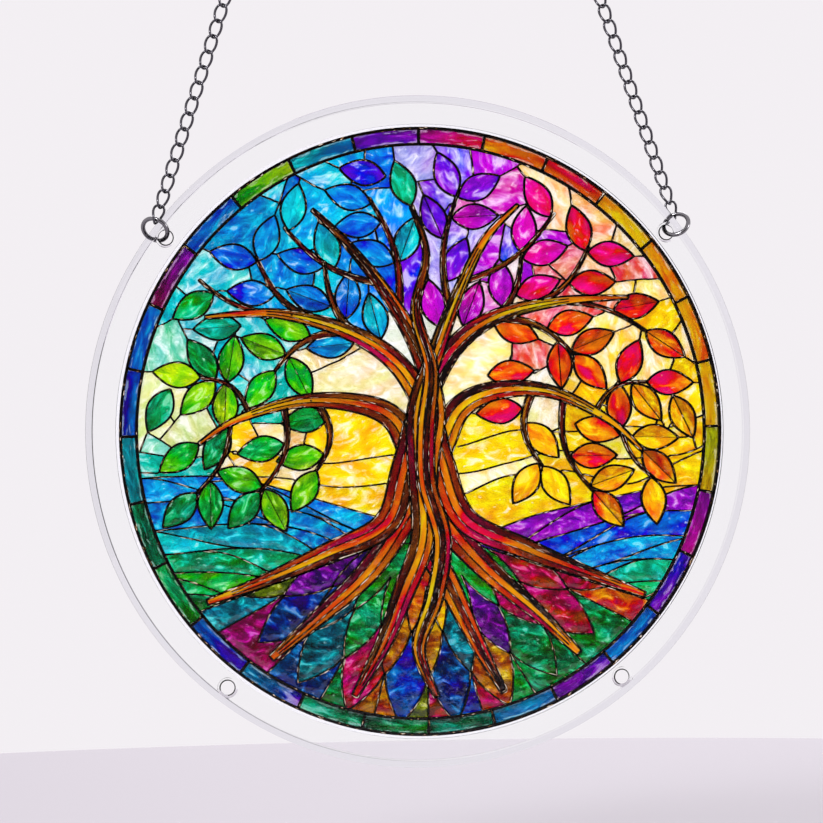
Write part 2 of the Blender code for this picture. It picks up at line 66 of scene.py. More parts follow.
# Sizes repeated from the solids
BEVEL_WIDTH = 2.0 * MM
BEVEL_DEPTH = 0.7 * MM
BORE_RADIUS = 2.1 * MM
SINK_RADIUS = 3.0 * MM
HOLE_INSET = 4.6 * MM
UPPER_HOLE_ANGLE = math.radians(52.2)
LOWER_HOLE_ANGLE = math.radians(38.5)
SHEET_THICKNESS = 1.2 * MM
CLEAR_EDGE = 0.9 * MM
BORDER_WIDTH = 5.6 * MM
BORDER_STRIPS = 28
JUMP_RING_RADIUS = 4.5 * MM
JUMP_RING_WIRE = 1.3 * MM
JUMP_RING_TURN = math.radians(45)
LINK_COUNT = 51
LINK_PITCH = 4.8 * MM
LINK_WIDTH = 4.0 * MM
END_TWIST = math.radians(45)
TURNING_LINKS = 3
CHAIN_WIRE = 0.75 * MM
WIRE_GAP = 0.3 * MM
HANG_RING_RADIUS = 7.0 * MM
HANG_RING_WIRE = 1.4 * MM

HOLE_RADIUS = DISC_RADIUS - HOLE_INSET
JUMP_LOOP = JUMP_RING_RADIUS - JUMP_RING_WIRE / 2
HANG_LOOP = HANG_RING_RADIUS - HANG_RING_WIRE / 2
HANG_CENTRE = Vector((0, 0, HANG_RING_WIRE / 2 - HANG_LOOP))
LINK_HALF_LENGTH = (LINK_PITCH + CHAIN_WIRE) / 2
LINK_HALF_WIDTH = (LINK_WIDTH - CHAIN_WIRE) / 2
BORDER_RADIUS = SHEET_RADIUS - CLEAR_EDGE
PICTURE_RADIUS = BORDER_RADIUS - BORDER_WIDTH
SHEET_FACE = SHEET_BACK - SHEET_THICKNESS

# Strands of wood, each from a root tip through the trunk to a limb tip: x, y and half width in shares
STRANDS = {
    "left_low": [
        (0.54, -0.79, 0.012), (0.39, -0.64, 0.026), (0.21, -0.48, 0.038), (0.06, -0.30, 0.046),
        (-0.04, -0.08, 0.045), (-0.11, 0.05, 0.040), (-0.25, 0.105, 0.031), (-0.45, 0.11, 0.021),
        (-0.66, 0.05, 0.012), (-0.79, -0.03, 0.006),
    ],
    "right_low": [
        (-0.55, -0.78, 0.012), (-0.38, -0.64, 0.027), (-0.20, -0.48, 0.039), (-0.07, -0.29, 0.046),
        (0.05, -0.07, 0.046), (0.13, 0.08, 0.040), (0.27, 0.14, 0.031), (0.46, 0.13, 0.021),
        (0.66, 0.03, 0.012), (0.78, -0.08, 0.006),
    ],
    "left_high": [
        (0.78, -0.59, 0.010), (0.58, -0.51, 0.021), (0.36, -0.42, 0.034), (0.14, -0.31, 0.042),
        (0.06, -0.10, 0.042), (0.01, 0.08, 0.040), (-0.10, 0.25, 0.033), (-0.28, 0.36, 0.025),
        (-0.52, 0.42, 0.015), (-0.76, 0.41, 0.006),
    ],
    "right_high": [
        (-0.77, -0.58, 0.010), (-0.57, -0.51, 0.021), (-0.35, -0.42, 0.034), (-0.14, -0.32, 0.042),
        (-0.07, -0.12, 0.042), (0.00, 0.10, 0.040), (0.11, 0.29, 0.033), (0.27, 0.40, 0.025),
        (0.50, 0.45, 0.015), (0.74, 0.46, 0.006),
    ],
    "left_top": [
        (0.27, -0.92, 0.011), (0.18, -0.75, 0.025), (0.09, -0.56, 0.036), (0.00, -0.36, 0.042),
        (0.01, -0.12, 0.040), (0.04, 0.08, 0.036), (-0.01, 0.28, 0.029), (-0.12, 0.48, 0.021),
        (-0.26, 0.66, 0.013), (-0.38, 0.78, 0.006),
    ],
    "right_top": [
        (-0.26, -0.92, 0.011), (-0.16, -0.75, 0.026), (-0.08, -0.56, 0.036), (-0.01, -0.37, 0.040),
        (-0.02, -0.12, 0.038), (-0.02, 0.08, 0.034), (0.05, 0.28, 0.028), (0.13, 0.48, 0.020),
        (0.23, 0.67, 0.013), (0.35, 0.79, 0.006),
    ],
    "centre": [
        (0.03, -0.93, 0.010), (-0.03, -0.76, 0.022), (0.03, -0.58, 0.029), (0.06, -0.38, 0.030),
        (0.01, -0.18, 0.030), (0.01, 0.02, 0.030), (0.03, 0.22, 0.024), (-0.02, 0.42, 0.017),
        (0.02, 0.62, 0.011), (-0.03, 0.79, 0.006),
    ],
}

# Twigs: the strand that each leaves, its place along the strand, its tip and how far it bows
TWIGS = [
    ("left_low", 0.74, (-0.38, -0.13), 0.05),
    ("left_low", 0.80, (-0.58, -0.20), 0.05),
    ("left_low", 0.86, (-0.78, 0.20), -0.04),
    ("left_low", 0.90, (-0.80, -0.20), 0.03),
    ("left_high", 0.70, (-0.34, 0.60), 0.06),
    ("left_high", 0.77, (-0.52, 0.22), -0.04),
    ("left_high", 0.80, (-0.58, 0.62), 0.05),
    ("left_high", 0.88, (-0.78, 0.54), 0.03),
    ("left_top", 0.74, (-0.18, 0.82), -0.04),
    ("left_top", 0.80, (-0.48, 0.72), 0.04),
    ("right_low", 0.74, (0.42, -0.13), -0.05),
    ("right_low", 0.80, (0.60, -0.22), -0.05),
    ("right_low", 0.86, (0.80, 0.16), 0.04),
    ("right_low", 0.92, (0.82, -0.18), -0.02),
    ("right_high", 0.71, (0.36, 0.62), -0.06),
    ("right_high", 0.77, (0.54, 0.26), 0.04),
    ("right_high", 0.81, (0.60, 0.64), -0.05),
    ("right_high", 0.88, (0.80, 0.34), 0.03),
    ("right_top", 0.74, (0.14, 0.84), 0.04),
    ("right_top", 0.80, (0.48, 0.76), -0.04),
]
TWIG_TIP = 0.004
TWIG_ROOT_SHARE = 0.55

# Leaves, in shares
LEAF_LENGTH = 0.168
LEAF_HALF_WIDTH = 0.044
LEAF_GAP = 0.002
LEAF_LAP = 0.018
LEAF_BLUNTNESS = 0.85
LEAF_WIDE_AT_BASE = 1.16
LEAF_TAPER = 0.32
LEAF_ANGLES = (0.75, 0.95, 0.55, 1.2)
TWIG_LEAF_PLACES = (0.95, 0.78, 0.60, 0.42, 0.25)
LIMB_LEAF_PLACES = (0.985, 0.95, 0.91, 0.87, 0.83, 0.79, 0.75, 0.71, 0.67)
CANOPY_EDGE = 0.985
LEAF_ROOM = ((0.10, 0.25), (0.22, 0.60), (0.36, 0.90), (0.50, 1.00), (0.64, 0.90), (0.78, 0.62), (0.92, 0.25))

# Rows of further leaves that fill the canopy's gaps, from its edge inwards
FILL_ROWS = 16
FILL_REACH = 0.90
FILL_ROW_STEP = 0.04
FILL_DENSITY = 130
FILL_FROM = math.radians(-8)
FILL_SWEEP = math.radians(196)
FILL_TILTS = (0.0, 0.3, -0.3, 0.6, -0.6, 0.9, -0.9, 1.25, -1.25, 1.6, -1.6)
OPENINGS = [
    (-0.27, 0.23, 0.13, 0.07), (0.30, 0.27, 0.14, 0.07),
    (-0.22, -0.06, 0.13, 0.10), (0.26, -0.04, 0.13, 0.10),
]

# Fineness of the picture's lines and panes
FINE_STRAND_STEPS = 10
FINE_TWIG_STEPS = 8
LEAF_STEPS = 12
LINE_STEP = 0.55 * MM / PICTURE_RADIUS
PANE_GRID = 1.5 * MM / PICTURE_RADIUS
GRID_CLEARANCE = 0.55 * MM / PICTURE_RADIUS
RING_STEPS = 360

# Raised lines: half width and height above the sheet's face
LINES = {
    "ring": (0.42 * MM, 0.45 * MM),
    "wood": (0.30 * MM, 0.44 * MM),
    "twig": (0.26 * MM, 0.38 * MM),
    "leaf": (0.30 * MM, 0.40 * MM),
    "streak": (0.17 * MM, 0.34 * MM),
    "vein": (0.08 * MM, 0.28 * MM),
    "sky": (0.25 * MM, 0.34 * MM),
}
LINE_DEPTH = SHEET_THICKNESS + 0.05 * MM
PANE_RISE = 0.30 * MM
PANE_EDGE = 1.3 * MM
RIPPLE = 0.05 * MM
RIPPLE_SIZE = 3.5 * MM


def linear(hex_colour):
    """An sRGB hex colour as linear red, green and blue."""
    values = [int(hex_colour[i : i + 2], 16) / 255 for i in (1, 3, 5)]
    return tuple(v / 12.92 if v <= 0.04045 else ((v + 0.055) / 1.055) ** 2.4 for v in values)


def mixed(a, b, share):
    return tuple(x + (y - x) * share for x, y in zip(a, b))


def feed(node, inputs):
    """Sets each input of a node, or links it to a socket or to another node's first output."""
    for name, value in inputs.items():
        if isinstance(value, bpy.types.Node):
            value = value.outputs[0]
        if isinstance(value, bpy.types.NodeSocket):
            node.id_data.links.new(value, node.inputs[name])
        else:
            node.inputs[name].default_value = value
    return node


def add_node(tree, kind, inputs=(), **settings):
    """Adds a node with its settings and its inputs."""
    node = tree.nodes.new(kind)
    for name, value in settings.items():
        setattr(node, name, value)
    return feed(node, dict(inputs))


# The tree's layout, as the solids have it


def between(a, b, c, d, t):
    """The Catmull-Rom value a share of the way from b to c."""
    slope = c - a
    bend = 2 * a - 5 * b + 4 * c - d
    twist = 3 * b - a - 3 * c + d
    return b + (slope * t + bend * t**2 + twist * t**3) / 2


def smooth(points, steps):
    """A curve through the points, with steps between each two."""
    ends = [points[0]] + list(points) + [points[-1]]
    path = []
    for i in range(1, len(ends) - 2):
        for k in range(steps):
            path.append(tuple(between(*values, k / steps) for values in zip(*ends[i - 1 : i + 3])))
    path.append(tuple(points[-1]))
    return path


def point_at(path, share):
    """The point that is a share of the way along a path's list of points."""
    place = share * (len(path) - 1)
    i = min(int(place), len(path) - 2)
    return tuple(a + (b - a) * (place - i) for a, b in zip(path[i], path[i + 1]))


def heading(path, share, span=0.02):
    """The direction of a path there, as an angle from +x."""
    a = point_at(path, max(0, share - span))
    b = point_at(path, min(1, share + span))
    return math.atan2(b[1] - a[1], b[0] - a[0])


def twig_path(start, tip, bow, steps):
    """A bowed line from a strand to the twig's tip, which narrows as it goes."""
    dx, dy = tip[0] - start[0], tip[1] - start[1]
    length = math.hypot(dx, dy)
    path = []
    for k in range(steps + 1):
        t = k / steps
        lift = bow * math.sin(math.pi * t) / length
        half = start[2] * TWIG_ROOT_SHARE * (1 - t) + TWIG_TIP * t
        path.append((start[0] + dx * t - dy * lift, start[1] + dy * t + dx * lift, half))
    return path


def offset_path(path, share):
    """A line beside a path, its distance a share of the path's half width, left of it if positive."""
    line = []
    for i, (x, y, half) in enumerate(path):
        a = path[max(0, i - 1)]
        b = path[min(len(path) - 1, i + 1)]
        turn = math.atan2(b[1] - a[1], b[0] - a[0])
        line.append((x - math.sin(turn) * half * share, y + math.cos(turn) * half * share))
    return line


def leaf_outline(base, turn):
    """A leaf with a point at each end, widest just before its middle."""
    side = []
    for k in range(LEAF_STEPS + 1):
        t = k / LEAF_STEPS
        swell = math.sin(math.pi * t) ** LEAF_BLUNTNESS * (LEAF_WIDE_AT_BASE - LEAF_TAPER * t)
        side.append((t * LEAF_LENGTH, LEAF_HALF_WIDTH * swell))
    outline = side + [(u, -w) for u, w in side[-2:0:-1]]
    c, s = math.cos(turn), math.sin(turn)
    return [(base[0] + u * c - w * s, base[1] + u * s + w * c) for u, w in outline]


def on_leaf(base, turn, along, aside=0):
    """A point of a leaf, a share of its length along and a distance aside."""
    c, s = math.cos(turn), math.sin(turn)
    return (base[0] + c * LEAF_LENGTH * along - s * aside, base[1] + s * LEAF_LENGTH * along + c * aside)


def leaf_room(base, turn):
    """Discs down a leaf's middle, which stand for it where its room is tested."""
    return [(*on_leaf(base, turn, along), LEAF_HALF_WIDTH * wide) for along, wide in LEAF_ROOM]


def has_room(discs, taken, wood):
    """True if a leaf is inside the canopy and clear of the other leaves, the wood and the openings."""
    for x, y, r in discs:
        if math.hypot(x, y) + r > CANOPY_EDGE:
            return False
        if any(math.hypot(x - u, y - v) < r + q + LEAF_GAP for u, v, q in taken):
            return False
        if any(((x - a) / b) ** 2 + ((y - c) / d) ** 2 < 1 for a, c, b, d in OPENINGS):
            return False
    return not any(math.hypot(x - u, y - v) < r + q - LEAF_LAP for x, y, r in discs[1:] for u, v, q in wood)


def grow_tree():
    """The strands, the twigs and the leaves, the last as base points and directions."""
    strands = {name: smooth(points, FINE_STRAND_STEPS) for name, points in STRANDS.items()}
    twigs = []
    for name, place, tip, bow in TWIGS:
        twigs.append(twig_path(point_at(strands[name], place), tip, bow, FINE_TWIG_STEPS))
    wood = [point for path in list(strands.values()) + twigs for point in path]
    taken, leaves = [], []

    def grow_leaf(base, turn):
        discs = leaf_room(base, turn)
        if not has_room(discs, taken, wood):
            return False
        taken.extend(discs)
        leaves.append((base, turn))
        return True

    for path in twigs + list(strands.values()):
        grow_leaf(path[-1][:2], heading(path, 1.0))
    for paths, places in ((twigs, TWIG_LEAF_PLACES), (strands.values(), LIMB_LEAF_PLACES)):
        for path in paths:
            for place in places:
                x, y, half = point_at(path, place)
                turn = heading(path, place)
                for side in (1, -1):
                    base = (x - math.sin(turn) * half * side, y + math.cos(turn) * half * side)
                    any(grow_leaf(base, turn + side * angle) for angle in LEAF_ANGLES)
    for row in range(FILL_ROWS):
        reach = FILL_REACH - FILL_ROW_STEP * row
        count = round(reach * FILL_DENSITY)
        for place in range(count):
            turn = FILL_FROM + FILL_SWEEP * (place + 0.5 * (row % 2)) / count
            base = (reach * math.cos(turn), reach * math.sin(turn))
            any(grow_leaf(base, turn + tilt) for tilt in FILL_TILTS)
    return strands, twigs, leaves


# Lines and panes of the picture


def spaced(points, closed=False, step=LINE_STEP):
    """The same line with points an even step apart."""
    line = np.array(points, float)
    if closed:
        line = np.vstack([line, line[:1]])
    gaps = np.hypot(*np.diff(line, axis=0).T)
    along = np.concatenate([[0], np.cumsum(gaps)])
    count = max(2, round(along[-1] / step) + 1)
    places = np.linspace(0, along[-1], count)
    return np.column_stack([np.interp(places, along, line[:, i]) for i in (0, 1)])


def inside(points, outline):
    """Which of the points are inside a closed outline."""
    points = np.asarray(points, float)
    found = np.zeros(len(points), bool)
    low, high = outline.min(0), outline.max(0)
    near = np.nonzero(((points >= low) & (points <= high)).all(1))[0]
    if not len(near):
        return found
    x, y = points[near, 0][:, None], points[near, 1][:, None]
    x0, y0 = outline.T
    x1, y1 = np.roll(outline, -1, axis=0).T
    crosses = (y0 > y) != (y1 > y)
    rise = np.where(y1 == y0, 1, y1 - y0)
    found[near] = (crosses & (x < x0 + (y - y0) * (x1 - x0) / rise)).sum(1) % 2 == 1
    return found


def shown_runs(line, shapes, first_only=False):
    """The stretches of a line that show beside the shapes above it and inside the picture's ring."""
    hidden = np.hypot(*line.T) >= 1
    for shape in shapes:
        hidden |= inside(line, shape["outline"])
    if first_only:
        ends = [(0, 1 + hidden[1:].argmax() if hidden[1:].any() else len(line) - 1)]
    else:
        shown = np.concatenate([[0], ~(hidden[:-1] & hidden[1:]), [0]])
        ends = np.flatnonzero(np.diff(shown)).reshape(-1, 2)
    runs = [line[first : last + 1] for first, last in ends]
    return [run / np.maximum(np.hypot(*run.T), 1)[:, None] for run in runs]


def wavy(points, wave, length, seed):
    """A line through the points with a soft wave of its own."""
    line = spaced(smooth(points, FINE_STRAND_STEPS))
    for i, (x, y) in enumerate(line):
        line[i, 1] += wave * noise.noise((x / length, y / length, seed))
    return line


def lay_out_shapes():
    """Every closed shape of the tree, from the topmost down."""
    strands, twigs, leaves = grow_tree()
    wood = [("strand", path) for path in reversed(strands.values())] + [("twig", path) for path in twigs]
    shapes = []
    for kind, path in wood:
        outline = offset_path(path, 1) + offset_path(path, -1)[::-1]
        shapes.append({"kind": kind, "path": path, "outline": np.array(outline)})
    for leaf in leaves:
        shapes.append({"kind": "leaf", "place": leaf, "outline": np.array(leaf_outline(*leaf))})
    return shapes


OUTLINE_KINDS = {"strand": "wood", "twig": "twig", "leaf": "leaf"}
STREAKS = (-0.36, 0.30)
STREAK_FROM = 0.014
STREAK_FADE = 0.008
VEIN_SHARE = 0.30


def lay_out_lines(shapes, draw):
    """Every line that shows, by kind, each as a list of points."""
    lines = {kind: [] for kind in LINES}
    for level, shape in enumerate(shapes):
        found = [(OUTLINE_KINDS[shape["kind"]], spaced(shape["outline"], closed=True))]
        if shape["kind"] == "strand":
            wide = [point for point in shape["path"] if point[2] > STREAK_FROM]
            found += [("streak", spaced(offset_path(wide, share))) for share in STREAKS]
        if shape["kind"] == "leaf":
            shape["veined"] = draw.random() < VEIN_SHARE
            if shape["veined"]:
                found.append(("vein", spaced([shape["place"][0], on_leaf(*shape["place"], 1)])))
        for kind, line in found:
            lines[kind] += shown_runs(line, shapes[:level])
    for runs in background_lines(shapes, lines, draw):
        lines["sky"] += runs
    return lines


# The glass behind the tree: bands of hill and sky, the ground, and rays from the leaves

HORIZON_LEFT = -0.13
HORIZON_RIGHT = -0.22
HILL_DEPTH = 0.085
HILL_DIP = 0.22
HILL_DROPS = (0.0, 0.085, 0.17, 0.255, 0.34, 0.43)
HILL_POINTS = (1.02, 0.78, 0.52, 0.28, 0.04)
HILL_WAVE = 0.05
HILL_WAVE_LENGTH = 0.45
HILL_DRIFT = 0.22
RIGHT_DRIFT = 20
SLANT_STARTS = (0.02, 0.40)
SLANT_STAGGER = 0.19
SLANT_REACH = 0.38

# Sky bands, each with the first level that has it, the seed of its wave, and its points
SKY_LEVELS = (0.03, -0.05, -0.13)
SKY_BANDS = [
    (0, 40, ((1.02, 0.0), (0.74, -0.05), (0.46, -0.02), (0.12, -0.07))),
    (1, 60, ((-1.02, 0.02), (-0.70, -0.03), (-0.40, -0.05), (-0.10, -0.04))),
]
SKY_WAVE = 0.07
SKY_WAVE_LENGTH = 0.3

# Rays: how far along the leaf each starts, and how it leans from the leaf's own direction
RAYS = ((1.0, 0.0), (0.5, 1.25), (0.5, -1.25))
RAY_STEP = 2 * LINE_STEP
RAY_STEPS = 60
RAY_SWAY = 0.07
RAY_SPREAD = 0.25
SIDE_RAY_SHARE = 0.55
RAY_FLOOR = -0.08
NEAR_LINE = LINE_STEP * 1.2
FREE_START = 3

GROUND_FROM = -0.34
GROUND_FALL = 0.34
GROUND_EDGE = (-1.02, -0.75, -0.45, -0.15, 0.15, 0.45, 0.75, 1.02)
GROUND_CENTRE = (0.0, -0.30)
GROUND_ARCS = (0.24, 0.40, 0.56)
GROUND_FOOT = 1.2
GROUND_BAYS = 10
GROUND_SPREAD = math.radians(78)
GROUND_RISE = 0.17
ARCH_STEPS = 10
ARCH_POINT = 0.75


class LineField:
    """Points of the lines laid so far, found by the square that they are in."""

    def __init__(self, size):
        self.size = size
        self.squares = {}

    def square(self, x, y):
        return (math.floor(x / self.size), math.floor(y / self.size))

    def add(self, runs):
        for run in runs:
            for x, y in run:
                self.squares.setdefault(self.square(x, y), []).append((x, y))

    def near(self, x, y):
        """The nearest laid point that is less than a square's side away."""
        column, row = self.square(x, y)
        around = [(column + i, row + j) for i in (-1, 0, 1) for j in (-1, 0, 1)]
        points = [point for square in around for point in self.squares.get(square, ())]
        close = [(math.hypot(x - u, y - v), (u, v)) for u, v in points]
        gap, point = min(close, default=(1, None))
        return point if gap < self.size else None


def until_met(runs, field):
    """Each line as far as the first line that it meets, and joined to it there."""
    kept = []
    for run in runs:
        line = list(run[:FREE_START])
        for x, y in run[FREE_START:]:
            met = field.near(x, y)
            line.append(met or (x, y))
            if met:
                break
        kept.append(np.array(line))
    return kept


def horizon(x):
    """How high the hills reach on either side, lower towards the trunk."""
    return (HORIZON_LEFT if x < 0 else HORIZON_RIGHT) - HILL_DIP * (1 - abs(x)) ** 2


def ground_top(x):
    """How high the ground reaches between the roots."""
    return GROUND_FROM - GROUND_FALL * abs(x)


def slant(upper, lower, start):
    """An S-curve from one band's edge down to the next, from a share of their width on."""
    first = int(start * (len(upper) - 1))
    last = min(len(upper), len(lower), first + int(SLANT_REACH * len(upper)))
    t = (np.arange(last - first) / max(1, last - first - 1))[:, None]
    ease = t * t * (3 - 2 * t)
    return upper[first:last] * (1 - ease) + lower[first:last] * ease


def ground_lines():
    """Pointed bays between the roots, each row set half a bay off the next, with joints below the last."""
    width = 2 * GROUND_SPREAD / GROUND_BAYS
    for row, reach in enumerate(GROUND_ARCS):
        for bay in range(-1, GROUND_BAYS + 1):
            low = -GROUND_SPREAD + (bay + 0.5 * (row % 2)) * width
            arch = []
            for k in range(ARCH_STEPS + 1):
                t = k / ARCH_STEPS
                arch.append((reach + GROUND_RISE * (1 - abs(2 * t - 1)) ** ARCH_POINT, low + width * t))
            lines = [arch]
            if bay >= 0 and row == len(GROUND_ARCS) - 1:
                lines.append([(reach, low), (GROUND_FOOT, low)])
            for line in lines:
                cx, cy = GROUND_CENTRE
                yield [(cx + far * math.sin(angle), cy - far * math.cos(angle)) for far, angle in line]


def background_lines(shapes, lines, draw):
    """Cuts of the glass behind the tree: bands of sky and hill, the ground, and rays from the leaves."""
    field = LineField(NEAR_LINE)
    for runs in lines.values():
        field.add(runs)
    made = []

    def lay(runs):
        field.add(runs)
        made.append(runs)

    edge = [(x, ground_top(x)) for x in GROUND_EDGE]
    ground, open_air = (shapes + [{"outline": np.array(edge + [(2, y), (-2, y)])}] for y in (-2, 2))
    lay(shown_runs(spaced(edge), shapes))
    sides = {-1: [], 1: []}
    for number, drop in enumerate(HILL_DROPS):
        for side, rows in sides.items():
            points = [(side * x, horizon(side * x) - drop) for x in HILL_POINTS]
            seed = HILL_DRIFT * number + RIGHT_DRIFT * (side > 0)
            rows.append(wavy(points, HILL_WAVE, HILL_WAVE_LENGTH, seed))
            lay(shown_runs(rows[-1], ground))
    for rows in sides.values():
        for number, (upper, lower) in enumerate(zip(rows, rows[1:])):
            for start in SLANT_STARTS:
                lay(shown_runs(slant(upper, lower, start + SLANT_STAGGER * (number % 2)), ground))
    for number, level in enumerate(SKY_LEVELS):
        for first, seed, points in SKY_BANDS:
            if number >= first:
                band = wavy([(x, level + y) for x, y in points], SKY_WAVE, SKY_WAVE_LENGTH, seed + number)
                lay(until_met(shown_runs(band, shapes), field))
    for line in ground_lines():
        lay(shown_runs(spaced(line), open_air))
    for leaf in (shape["place"] for shape in shapes if shape["kind"] == "leaf"):
        for along, lean in RAYS:
            if lean and draw.random() > SIDE_RAY_SHARE:
                continue
            ray = [on_leaf(*leaf, along, math.copysign(LEAF_HALF_WIDTH, lean) if lean else 0)]
            course = leaf[1] + lean + draw.uniform(-RAY_SPREAD, RAY_SPREAD)
            for _ in range(RAY_STEPS):
                course += draw.uniform(-RAY_SWAY, RAY_SWAY)
                x, y = ray[-1]
                ray.append((x + math.cos(course) * RAY_STEP, y + math.sin(course) * RAY_STEP))
            if ray[0][1] > RAY_FLOOR:
                lay(until_met(shown_runs(spaced(ray), shapes, first_only=True), field))
    return made


ON_RING = 1e-9
SAME_PLACE = 1e-6
GRID_LOOSENESS = 0.2


def cut_panes(lines, draw):
    """The flat picture cut into triangles along every line, with loose points between for its relief."""
    all_runs = [run for runs in lines.values() for run in runs]
    ends = [end for run in all_runs for end in (run[0], run[-1])]
    angles = {math.atan2(y, x) for x, y in ends if math.hypot(x, y) > 1 - ON_RING}
    angles |= {2 * math.pi * k / RING_STEPS - math.pi for k in range(RING_STEPS)}
    points = [(math.cos(angle), math.sin(angle)) for angle in sorted(angles)]
    edges = [(i, (i + 1) % len(points)) for i in range(len(points))]
    for run in all_runs:
        edges += [(len(points) + i, len(points) + i + 1) for i in range(len(run) - 1)]
        points += [tuple(point) for point in run]
    tree = kdtree.KDTree(len(points))
    for i, (x, y) in enumerate(points):
        tree.insert((x, y, 0), i)
    tree.balance()
    row_step = PANE_GRID * math.sqrt(3) / 2
    columns = int(1 / PANE_GRID)
    for row in range(-int(1 / row_step), int(1 / row_step) + 1):
        for column in range(-columns, columns + 1):
            x = (column + 0.5 * (row % 2)) * PANE_GRID
            x += draw.uniform(-GRID_LOOSENESS, GRID_LOOSENESS) * PANE_GRID
            y = row * PANE_GRID * math.sqrt(3) / 2
            if math.hypot(x, y) < 1 - GRID_CLEARANCE and tree.find((x, y, 0))[2] > GRID_CLEARANCE:
                points.append((x, y))
    cut = delaunay_2d_cdt([Vector(point) for point in points], edges, [], 0, SAME_PLACE)
    vertices, cut_edges, faces, _, sources, _ = cut
    walls = {tuple(sorted(edge)) for edge, source in zip(cut_edges, sources) if source}
    return [(v.x, v.y) for v in vertices], walls, [list(face) for face in faces], tree


# Colours of the picture

# Leaf colours round the canopy, by the angle from the fork in degrees
LEAF_COLOURS = [
    (208, "#1a7a34 #2f9a3c #5fb52e".split()),
    (184, "#2a9a3a #14703a #6cbc2c #1f8a4a".split()),
    (162, "#b4dc1c #3fae3a #7cca24 #1f8a3c".split()),
    (144, "#1fa050 #18a084 #52b834".split()),
    (126, "#2cb8cc #3498d0 #2cac9c #4478d0".split()),
    (109, "#3078d4 #40a8e0 #38c0d4 #4448cc".split()),
    (95, "#3c58d0 #2cb088 #3488dc #30b4c4".split()),
    (81, "#8050cc #5c58d8 #a070dc #bc50c4".split()),
    (67, "#cc48b0 #dc6cc4 #b04cbc #e458a0".split()),
    (53, "#dc3074 #d42c44 #e464a4".split()),
    (39, "#e03016 #d01820 #ee6416".split()),
    (23, "#ee7014 #e2480f #f6a018 #d42418".split()),
    (6, "#f08a16 #f4b41a #dc3a16 #cc1a24".split()),
    (-12, "#d42020 #f09a18 #e65214 #f2b81c".split()),
    (-32, "#f2bc1e #e68016".split()),
]

# The same for the glass between the leaves
CANOPY_GLASS = [
    (208, "#cfe6b4 #8ccc98 #e6eecb".split()),
    (168, "#9cd8c0 #d4eacc #5cc0ac #e8efc4".split()),
    (143, "#4cc0cc #8ad6dc #22a2c0 #b4e2e4".split()),
    (120, "#44b4dc #7ad0ea #3498d0 #54ccdc".split()),
    (99, "#508ce0 #80b0f0 #4070d8 #54bce4".split()),
    (82, "#7c68dc #a898ec #cfc6f4".split()),
    (66, "#e48cd0 #eeb4de #f2d2dc #c878dc".split()),
    (48, "#f0a8a4 #f6d0b0 #f7e0ba".split()),
    (28, "#f7d888 #f4c450 #f9e6aa".split()),
    (8, "#f5c838 #f7dc80 #f3b22c".split()),
    (-16, "#f3c02c #f7d868 #f9e8a4".split()),
]
FORK = (0.0, -0.08)
NEAR_FORK = 0.50
FORK_GLASS = ("#fbf1cf", "#fdf7e4", "#f1f5ea", "#f9ecc0")
SKY_LEFT = ("#faeec6", "#f8dc84", "#f6cc4c", "#f7e6b0")
SKY_RIGHT = ("#faf0c0", "#f8e080", "#f6d860", "#f9e8a8", "#f5c848")

# Hill colours down from each horizon, a pair for each band
HILLS_LEFT = [
    ("#2468c4", "#2f94d8"),
    ("#1b7cc4", "#35b4d4"),
    ("#169cae", "#36bcc0"),
    ("#17925c", "#26a87c"),
    ("#188a3c", "#3aa838"),
    ("#0f6a36", "#1a8a50"),
]
HILLS_RIGHT = [
    ("#7434b4", "#9248bc"),
    ("#2c50c8", "#4a78dc"),
    ("#2690cc", "#179ca8"),
    ("#169c74", "#28b068"),
    ("#1a8a40", "#4cae30"),
    ("#0f6a38", "#17824a"),
]
GROUND_COLOURS = (
    "#0a4c5c", "#7c3410", "#7c1450", "#d8a418", "#566418", "#163694", "#b84412", "#8c142c", "#10286c",
    "#126a34", "#4c1470", "#0c6076", "#a05c10", "#14802c",
)

# Wood: the browns of the three bands down each strand, one of which is mostly amber
WOOD_BANDS = [
    ("#3c1006", "#541608", "#2c0c06", "#7a220c", "#401208", "#8c2c0e"),
    ("#b4300f", "#cc4812", "#94200c", "#dc5c1c", "#801e0c", "#c02816"),
    ("#f08420", "#fcb02c", "#e4641c", "#ffc840", "#dc5218", "#f69a22"),
]
TWIG_BROWNS = ("#5a1c0a", "#7a2a0e", "#8c3812", "#4a160a")
BAND_STOPS = 7

# How the colour runs within a pane: shades, stretches of its flow, and a place of its own for each pane
ZONE_BLUR = 9
PLAIN_LEAVES = 0.5
TIP_BLEND = 0.7
TIP_BLEND_POWER = 1.5
VEIN_SHADE = (0.62, 0.9)
GLASS_SHADE = (0.86, 1.08)
LEAF_FLOW = (0.5, 1, 3)
WOOD_FLOW = (0.22, 0.03, 7)
GLASS_FLOW = (0.6, 1, 11)
LOW_FLOW_TURN = 0.5
LOW_SKY = (0.0, 0.75)

